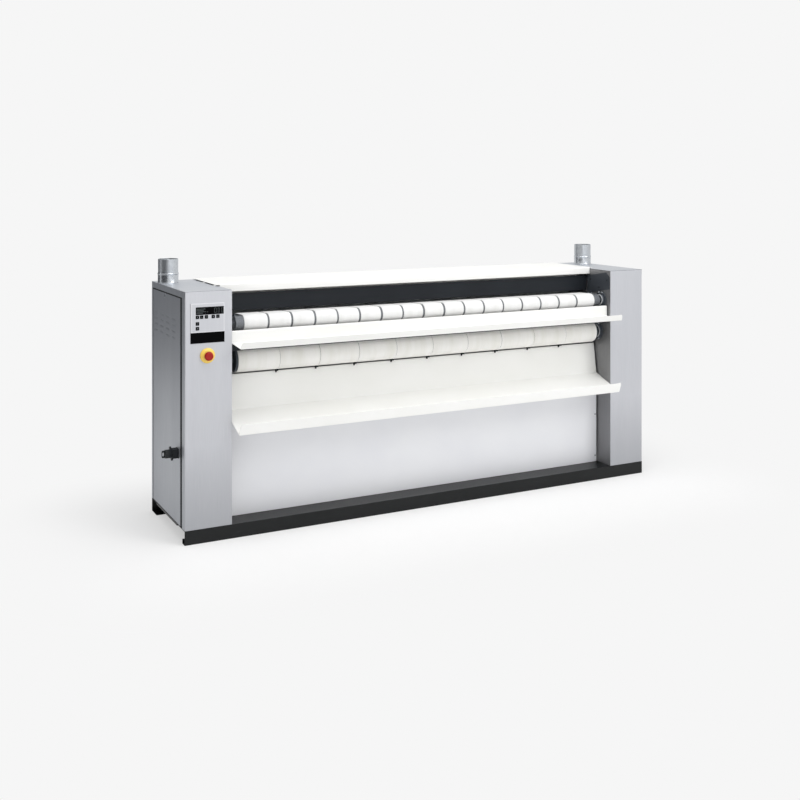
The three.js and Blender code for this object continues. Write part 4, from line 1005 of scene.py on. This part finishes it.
# %% Guard arms
ARM_SHAPE = [(0.005, -0.104), (0.209, -0.138), (0.209, -0.040), (0.038, -0.0115), (0.006, -0.036)]
ARM_SCREWS = [(0.030, -0.055), (0.100, -0.100), (0.180, -0.060)]
ARM_OUT = 0.0023
for side, sign in SIDES.items():
    arm = plate(np.array(ARM_SHAPE) + (FRONT, TOP), inner_face(side, FIT), inner_face(side, ARM_OUT))
    heads = [screw((inner_face(side, ARM_OUT), FRONT + y, TOP + z), "x", -sign) for y, z in ARM_SCREWS]
    # Painted reflection: the arms' enamel is lighter than the dark enamel.
    piece(f"guard_arm_{side}", [arm], arm_enamel_painted_reflection, edge=0.0006)
    piece(f"guard_arm_screws_{side}", heads, black_enamel)
print("guard arms reach", round(FRONT + ARM_SHAPE[1][0], 3))

# %% [markdown]
# ## Brackets of the white panels
# The table and the tray don't touch the cabinets: each hangs on two small zinc angles behind its
# sheet, screwed to the inner faces. At each end the hood has a flange that reaches over the cabinet's
# top, and two tongues that step down onto it, where a screw holds each. Boxes would do for the flat
# parts, but the bends show, so angles and tongues are folded as the panels are.

# %% Angles and tongues
LEG, ANGLE_SHEET, FLANGE, TONGUE = 0.026, 0.002, 0.0165, 0.010
ANGLES = [(TABLE_FACE + SHEET + FIT, TABLE_SHELF + 0.007, TABLE_SHELF + 0.028),
          (CHUTE_Y - 0.005, CHUTE_TOP - 0.070, CHUTE_TOP - 0.042)]
TONGUE_GAPS = (0.020, 0.196)  # middle of a tongue from the hood's front
UNDER, STEP = HOOD_TOP - 0.0016, TOP + FIT + SHEET

for side, sign in SIDES.items():
    brackets, heads = [], []
    for y, low, high in ANGLES:
        corner = inner_face(side, FIT)
        angle = rounded([(inner_face(side, 0.007 + LEG), y), (corner, y), (corner, y + LEG)], 0.003)
        brackets.append(folded(angle, sign * ANGLE_SHEET, (low, high), "xyz"))
        head = (inner_face(side, ANGLE_SHEET + FIT), y + 0.016, (low + high) / 2)
        heads.append(screw(head, "x", -sign))
    piece(f"panel_brackets_{side}", brackets + heads, galvanised_steel)
    flange = outline((HOOD_FRONT + 0.003, HOOD_TOP - SHEET - 0.0001),
                     (HOOD_REAR - 0.003, HOOD_TOP - 0.0001))
    piece(f"hood_flange_{side}", [plate(flange, inner_face(side, 0.003), inner_face(side, -FLANGE))],
          upper_enamel, edge=FINE_EDGE)
    tongues, heads = [], []
    for y in (HOOD_FRONT + gap for gap in TONGUE_GAPS):
        end = inner_face(side, -FLANGE - TONGUE)
        step = rounded([(inner_face(side, 0.025), UNDER), (inner_face(side, 0.003 - FLANGE), UNDER),
                        (inner_face(side, -FLANGE), STEP), (end, STEP)], 0.0008, steps=3)
        tongues.append(folded(step, -sign * SHEET, (y - TONGUE, y + TONGUE), "xzy"))
        heads.append(screw((end - sign * 0.005, y, STEP), "z", 1, 0.0038, 0.0018))
    piece(f"hood_tongues_{side}", tongues, upper_enamel)
    piece(f"hood_tongue_screws_{side}", heads, polished_steel)
print("tongues at", [round(HOOD_FRONT + gap, 4) for gap in TONGUE_GAPS])

# %% [markdown]
# ## Strippers on the chute, painted shadow strip under the feed table
# A sheet that clings to a band has to be lifted off it: at each joint between two bands a small rubber
# finger reaches from the chute's top edge to just under the roller. All its shape is in its side view,
# so that outline is pushed across. The dark line along the top of the exit roller is the shadow gap
# under the feed table's lip, and a plain dark strip stands in for it: painted shade.

# %% Stripper fingers and painted shadow strip
SHADOW_STRIP_Y, SHADOW_STRIP_FOOT, SHADOW_STRIP_HALF = FRONT + 0.043, 0.8660, INNER - SHEET
FINGER = [(-0.029, 0.0035), (-0.012, 0.0020), (-0.0045, -0.0080), (-0.0016, -0.0080),
          (-0.0003, 0.0004), (0.0040, 0.0004), (0.0040, 0.0030), (-0.0080, 0.0105), (-0.029, 0.0105)]
low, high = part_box("ironing_bands")
joints = np.linspace(low.x, high.x, IRON_BANDS + 1)[1:-1] + 0.008
fingers = [plate(np.array(FINGER) + (CHUTE_Y, CHUTE_TOP), x - 0.0035, x + 0.0035) for x in joints]
piece("stripper_fingers", fingers, rubber, edge=0.0006)
# Painted shade: a thin dark strip in front of the exit roller's top, for the shadow under the table's
# lip.
section = outline((SHADOW_STRIP_Y, SHADOW_STRIP_FOOT), (SHADOW_STRIP_Y + 0.002, TABLE_EDGE))
piece("roller_shadow_strip", [plate(section, MIDDLE - SHADOW_STRIP_HALF, MIDDLE + SHADOW_STRIP_HALF)], dark_enamel,
      edge=FINE_EDGE)
print("strippers:", len(fingers), "strip from", SHADOW_STRIP_FOOT, "to", round(TABLE_EDGE, 4))

# %% [markdown]
# ## Control plate
# The plate has a pale printed border. Each key stands in a black printed frame, which makes it look
# larger than it is, and carries a plain symbol. Print could be a picture on the plate, but thin closed
# shapes, a tenth of a millimetre proud, stay sharp at any distance. A symbol rides on its own key, so
# that it goes in with it.

# %% Border, display and key symbols
INK = 0.0001
PIXEL_ROWS = [(0.03, 0.34, 0.70, 0.82), (0.03, 0.28, 0.52, 0.64), (0.05, 0.36, 0.34, 0.46),
              (0.03, 0.25, 0.16, 0.28), (0.40, 0.44, 0.30, 0.42)]
PIXEL, PIXEL_PITCH, THICK = 0.015, 0.021, 0.014
DIGITS = [(0.655, 0.735), (0.785, 0.845), (0.915, 0.985)]


def front_of(name):
    """The corners (x, z) of a node's box, and the y of its front."""
    low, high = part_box(name)
    return np.array([low.xz, high.xz]), low.y


def printed(corners, y, outer, inner):
    """A frame on the face at y between two outlines, each an inset of the corners and a radius."""
    rings = [outline(corners[0] + by, corners[1] - by, radius) for by, radius in (outer, inner)]
    return rim(*rings, y - INK, y)


KEYS = [f"key_{number}" for number in range(1, 8)]
plate_corners, plate_y = front_of("control_plate")
piece("control_plate_border", [printed(plate_corners, plate_y, (0.0008, 0.002), (0.0034, 0.0012))],
      print_pale)
piece("key_frames", [printed(front_of(name)[0], plate_y, (-0.0014, 0.0025), (-0.0004, 0.0010))
                     for name in KEYS], black_gloss)

cells = [((start, foot), (start + PIXEL, head), 0.0002) for left, right, foot, head in PIXEL_ROWS
         for start in np.arange(left, right, PIXEL_PITCH)]
for left, right in DIGITS:
    cells += [((x, foot), (x + THICK, foot + 0.30), 0.0003) for x in (left, right - THICK)
              for foot in (0.20, 0.54)]
    cells += [((left + 0.018, foot), (right - 0.018, foot + 0.05), 0.0003) for foot in (0.16, 0.83)]
window, window_y = front_of("display_window")
segments = [outline(*(np.array([low, high]) * (window[1] - window[0]) + window[0]), radius, 2)
            for low, high, radius in cells]
piece("display_segments", [plate(shape, window_y - INK, window_y, "xzy") for shape in segments],
      print_dark)
print("display segments:", len(segments))

ARROW = np.array([(-0.0032, 0.0), (0.0032, 0.0), (0.0, 0.0036)])
STEM, BAR, SQUARE = (outline((-x, -z), (x, top)) for x, z, top in (
    (0.0009, 0.0036, 0.0), (0.0034, 0.0008, 0.0008), (0.0024, 0.0024, 0.0024)))
SYMBOLS = {"key_1": [ARROW, STEM], "key_2": [BAR], "key_3": "ring", "key_4": [-ARROW, -STEM],
           "key_5": "ring", "key_6": [BAR[:, ::-1]], "key_7": [SQUARE]}
for name, shapes in SYMBOLS.items():
    corners, y = front_of(name)
    centre = corners.mean(0)
    if shapes == "ring":
        circle = np.radians(np.linspace(0, 360, 24, endpoint=False))
        circle = np.stack([np.cos(circle), np.sin(circle)], 1)
        marks = [rim(circle * 0.0034 + centre, circle * 0.0024 + centre, y - INK, y)]
    else:
        marks = [plate(shape + centre, y - INK, y, "xzy") for shape in shapes]
    piece(f"{name}_symbol", marks, print_grey, body=name)
print("symbols:", len(SYMBOLS))

# %% [markdown]
# ## Emergency stop
# The collar is a cone with a flat rim, and the red head is a mushroom with a shallow dish, ribbed
# round its edge so that a wet hand can turn it. Ribs could be cut one by one, but a cosine round the
# rows of the edge gives all of them at once. The neck ends inside the collar, with room for the whole
# stroke.

# %% Stop collar and button
STOP_LOW, STOP_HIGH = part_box("stop_collar")
BUTTON_LOW, BUTTON_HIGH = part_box("stop_button")
STOP_X, STOP_Z = (STOP_LOW.x + STOP_HIGH.x) / 2, (STOP_LOW.z + STOP_HIGH.z) / 2
COLLAR_RADIUS, COLLAR_DEPTH = (STOP_HIGH.x - STOP_LOW.x) / 2, STOP_HIGH.y - STOP_LOW.y
HEAD_RADIUS, HEAD_DEPTH = (BUTTON_HIGH.x - BUTTON_LOW.x) / 2, 0.014
NECK, BORE, STROKE_ROOM = 0.0104, 0.0120, 0.0070
NECK_END = FRONT - STROKE_ROOM - BUTTON_LOW.y

collar_profile = [(BORE, 0)] + [(COLLAR_RADIUS - inwards, out) for inwards, out in (
    (0, 0), (0, 0.0032), (0.0012, 0.0046), (0.0075, 0.0102), (0.0092, 0.0115), (0.0115, COLLAR_DEPTH))]
collar_profile += [(BORE + 0.0014, COLLAR_DEPTH), (BORE, COLLAR_DEPTH - 0.0014)]
piece("stop_collar_turned",
      [turned(collar_profile, (STOP_X, STOP_HIGH.y, STOP_Z), "y", -1, 72, hollow=True)],
      yellow_plastic, instead_of="stop_collar", crease=30)

button_profile = [
    (0, -0.0006), (0.0060, -0.0004), (0.0120, 0.0000), (0.0150, 0.0000), (0.0175, -0.0008),
    (0.0196, -0.0028), (HEAD_RADIUS, -0.0052, 1), (HEAD_RADIUS, -0.0105, 1), (0.0202, -0.0125, 1),
    (0.0180, -HEAD_DEPTH), (NECK, -HEAD_DEPTH), (NECK, -NECK_END), (0, -NECK_END)]
piece("stop_button_head", [turned(button_profile, (STOP_X, BUTTON_LOW.y, STOP_Z), "y", -1, 144,
                                  ribs=24, depth=0.0007)],
      red_plastic, body="stop_button", instead_of="stop_button", crease=50)
print("neck ends", round(NECK_END * 1000, 1), "mm behind the head's front")

# %% [markdown]
# ## Mains isolator
# A square base on the side panel and a handle that turns from off to on: a lever plate with rounded
# tips, a fluted grip, and a flat tab with a slot for a padlock. A boolean could join the three, but
# they are moulded in one colour, so they simply overlap in one piece. The rounded slot is a frame
# between two outlines.

# %% Isolator
GRIP_LOW, GRIP_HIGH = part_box("isolator_handle")
SWITCH = np.mean([corner.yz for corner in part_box("isolator_body")], axis=0)
SWITCH_Y, SWITCH_Z = SWITCH
LEVER_THICK, LEVER_HALF, LEAN = 0.008, np.array([0.008, 0.034]), math.radians(34)
GRIP_RADIUS, GRIP_OUT, FLUTE = 0.020, 0.034, 0.0012
TAB_THICK, TAB_HALF, HOLE_HALF = 0.006, 0.017, 0.009

tilt = np.array([[math.cos(LEAN), -math.sin(LEAN)], [math.sin(LEAN), math.cos(LEAN)]])
lever = plate(outline(-LEVER_HALF, LEVER_HALF, 0.0078, 8) @ tilt + SWITCH,
              GRIP_HIGH.x - LEVER_THICK, GRIP_HIGH.x)
fluted = [(GRIP_RADIUS * share, out, share) for out, share in (
    (0.0, 0.97), (LEVER_THICK, 0.985), (LEVER_THICK + 0.001, 1.0), (GRIP_OUT - 0.003, 1.0),
    (GRIP_OUT - 0.0008, 0.95), (GRIP_OUT, 0.86))]
grip = turned(fluted, (GRIP_HIGH.x, *SWITCH), "x", -1, 144, ribs=18, depth=FLUTE)
tab_out = GRIP_LOW.x
tab = rim(outline((tab_out, SWITCH_Z - TAB_HALF), (GRIP_HIGH.x - GRIP_OUT + 0.002, SWITCH_Z + TAB_HALF),
                  [0.006, 0.001, 0.001, 0.006], 8),
          outline((tab_out + 0.003, SWITCH_Z - HOLE_HALF), (tab_out + 0.011, SWITCH_Z + HOLE_HALF),
                  0.0039, 8), SWITCH_Y - TAB_THICK / 2, SWITCH_Y + TAB_THICK / 2)
piece("isolator_grip", [lever, grip, tab], black_plastic, body="isolator_handle",
      instead_of="isolator_handle", edge=0.0006, crease=40)
gasket = plate(outline(SWITCH - 0.023, SWITCH + 0.023, 0.004), panel_face("left") - 0.0016,
               panel_face("left"))
piece("isolator_gasket", [gasket], rubber, edge=FINE_EDGE)
print("isolator grip reaches", round(GRIP_LOW.x, 4))

# %% [markdown]
# ## Screws that hold the covers
# Side panels are locked by a quarter-turn latch near the top, rear covers and the rear panel are
# screwed along their edges, and the lower front panel has two screws at each end. They could be placed
# by hand, but a fitter spaces them evenly, so rows are worked out from the boxes of the panels.

# %% Latches and screws
SPACING = 0.21
LATCH_Y, LATCH_Z = 0.110, 1.1100
LATCH = [(0.0085, 0), (0.0085, 0.0008), (0.0078, 0.0014), (0.0042, 0.0014), (0.0042, 0.0006, 3),
         (0, 0.0006)]
for side, sign in SIDES.items():
    latch = turned(LATCH, (panel_face(side), LATCH_Y, LATCH_Z), "x", sign, 36)
    piece(f"latch_{side}", [latch], polished_steel, crease=30)
    low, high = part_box(f"rear_cover_{side}")
    heights = np.linspace(low.z + 0.030, high.z - 0.050, round((high.z - low.z) / SPACING) + 1)
    heads = [screw((x, BACK, z), "y", 1, height=0.0015)
             for x in (low.x + 0.014, high.x - 0.014) for z in heights]
    piece(f"rear_cover_screws_{side}", heads, polished_steel)
    heads = [screw((inner_face(side, 0.016), PANEL_Y, z), "y", -1, 0.0045) for z in (0.335, 0.101)]
    piece(f"lower_panel_screws_{side}", heads, polished_steel)

low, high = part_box("rear_panel")
edges_z = np.linspace(low.z + 0.030, high.z - 0.030, 6)
edges_x = np.linspace(low.x + 0.016, high.x - 0.016, 11)
places = [(x, z) for x in edges_x[[0, -1]] for z in edges_z]
places += [(x, z) for x in edges_x[1:-1] for z in edges_z[[0, -1]]]
piece("rear_panel_screws", [screw((x, high.y, z), "y", 1) for x, z in places], polished_steel)
print("rear screws:", len(places))

# %% [markdown]
# ## Dark strips in the gaps round the side panels
# Between a side panel and the front cover's return, and under the top cover's flange, there is a
# shadow gap. A dark rubber strip lies over each gap, as painted shade: without it light would fall
# into the cabinet. One bent strip could follow both edges, but two straight ones that overlap in the
# corner look the same.

# %% Shade strips in the panel gaps
GAP_SHADE_FRONT, GAP_SHADE_REAR = FRONT + 0.0445, FRONT + 0.078
GAP_SHADE_FOOT, GAP_SHADE_HEAD = 1.1225, 1.1296
for side, sign in SIDES.items():
    low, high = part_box(f"side_panel_{side}")
    ends = panel_face(side) + sign * 0.0007, panel_face(side) - sign * 0.0012
    upright = outline((GAP_SHADE_FRONT, low.z), (GAP_SHADE_REAR, GAP_SHADE_HEAD), 0.001)
    across = outline((GAP_SHADE_REAR - 0.001, GAP_SHADE_FOOT), (high.y, GAP_SHADE_HEAD), 0.001)
    # Painted shade: dark strips over the shadow gaps at the front and top of the panel.
    piece(f"panel_gap_shade_{side}", [plate(upright, *ends), plate(across, *ends)], rubber, edge=0.0003)
print("seal is", round(1000 * (GAP_SHADE_REAR - GAP_SHADE_FRONT), 1), "mm wide")

# %% [markdown]
# ## Stage and light
# A plain pale floor and a white world. Strong light would make the background white too, but the
# panels would clip with it. So the camera, mirrors and glass see the world as white, while the light
# that it casts is softer.

# %% Floor and world
FLOOR_HALF = 40.0
PALE = linear((246, 246, 246))
FADED, LIGHTER = 0.8, 0.5


def seen_directly(owner):
    """1 for rays from the camera, a mirror or glass, and 0 for light that bounces about."""
    kind = node(owner, "ShaderNodeLightPath", output="Is Camera Ray")
    outputs = kind.node.outputs
    return maths("MAXIMUM", maths("MAXIMUM", kind, outputs["Is Glossy Ray"]),
                 outputs["Is Transmission Ray"])


def surface(owner, shader):
    """Makes a shader the surface of a material or of the world."""
    output = next(made for made in owner.node_tree.nodes if made.type.startswith("OUTPUT"))
    owner.node_tree.links.new(shader, output.inputs["Surface"])


def quad(name, corners, material):
    """An object of one four-sided face."""
    mesh = bpy.data.meshes.new(name)
    mesh.from_pydata(corners, [], [(0, 1, 2, 3)])
    mesh.materials.append(material)
    return add(name, mesh)


paint = finish("floor_paint", (247, 247, 247), 0.9, Specular_IOR_Level=0.1)
outside = vectors("SUBTRACT", vectors("ABSOLUTE", place(paint)), (*cad_box[1][:2], 0.0))
away = vectors("LENGTH", vectors("MAXIMUM", outside), output="Value")
fade = remap(away, 0.0, FADED, LIGHTER, 1.0)
fade.node.interpolation_type = "SMOOTHSTEP"
surface(paint, node(paint, "ShaderNodeMixShader", {
    0: maths("MULTIPLY", fade, seen_directly(paint)),
    1: paint.node_tree.nodes["Principled BSDF"].outputs["BSDF"],
    2: node(paint, "ShaderNodeEmission", {"Color": PALE})}))
floor = quad("floor", [(x * FLOOR_HALF, y * FLOOR_HALF, 0) for x, y in (
    (-1, -1), (1, -1), (1, 1), (-1, 1))], paint)

world = bpy.data.worlds.new("studio")
scene.world = world
world.use_nodes = True
cast = world.node_tree.nodes["Background"]
cast.inputs["Color"].default_value = (1, 1, 1, 1)
cast.inputs["Strength"].default_value = 0.62
surface(world, node(world, "ShaderNodeMixShader", {
    0: seen_directly(world), 1: cast.outputs["Background"],
    2: node(world, "ShaderNodeBackground", {"Color": PALE})}))
print("floor fades to the backdrop within", FADED, "m from the machine")

# %% [markdown]
# ## Lamps, and cards for the metal to reflect
# Metal shows what stands round it, so a studio hangs cards. A dark one behind the left cabinet gives
# its side a gradient, and one on the left draws the dark stripe down the zinc pipes. Painted into the
# finishes, both would be wrong from any other side. Only mirrors see the cards: they cast no light and
# no shadow.


# %% Lamps and cards
def lamp(name, place_at, aim, size, watts):
    """A soft square lamp at a point, turned towards another."""
    data = bpy.data.lights.new(name, "AREA")
    data.size = size
    data.energy = watts
    made = add(name, data)
    made.location = place_at
    made.rotation_euler = (Vector(aim) - Vector(place_at)).to_track_quat("-Z", "Y").to_euler()


def card(name, one, other, low, high, grey):
    """An upright card between two points of the floor, that only mirrors see."""
    material = finish(f"{name}_paint", grey, 1.0)
    surface(material, node(material, "ShaderNodeEmission", {"Color": linear(grey)}))
    made = quad(name, [(*one, low), (*other, low), (*other, high), (*one, high)], material)
    for ray in ("camera", "diffuse", "transmission", "volume_scatter", "shadow"):
        setattr(made, f"visible_{ray}", False)


lamp("key", (2.6, -4.6, 4.4), (0.0, 0.0, 0.7), 3.0, 112)
lamp("top", (-0.4, -1.5, 4.8), (0.0, 0.0, 0.8), 3.0, 98)
lamp("front", (-0.3, -6.2, 1.3), (0.0, 0.0, 0.7), 2.6, 12)
card("dark_card_back", (-4.2, 1.6), (-1.6, 3.4), 0.25, 2.6, (86, 88, 92))
card("dark_card_left", (-2.15, -2.11), (-3.75, 0.55), 0.3, 2.4, (34, 36, 40))
scene.view_settings.view_transform = "Standard"

# %% [markdown]
# ## Sizes
# The box of the CAD frame is written down. The dressed machine is no bigger than the CAD one,
# apart from screw heads that stand 1.5 mm proud of the back.

# %% Sizes and finish
print("CAD box", [[round(v, 4) for v in corner] for corner in cad_box])
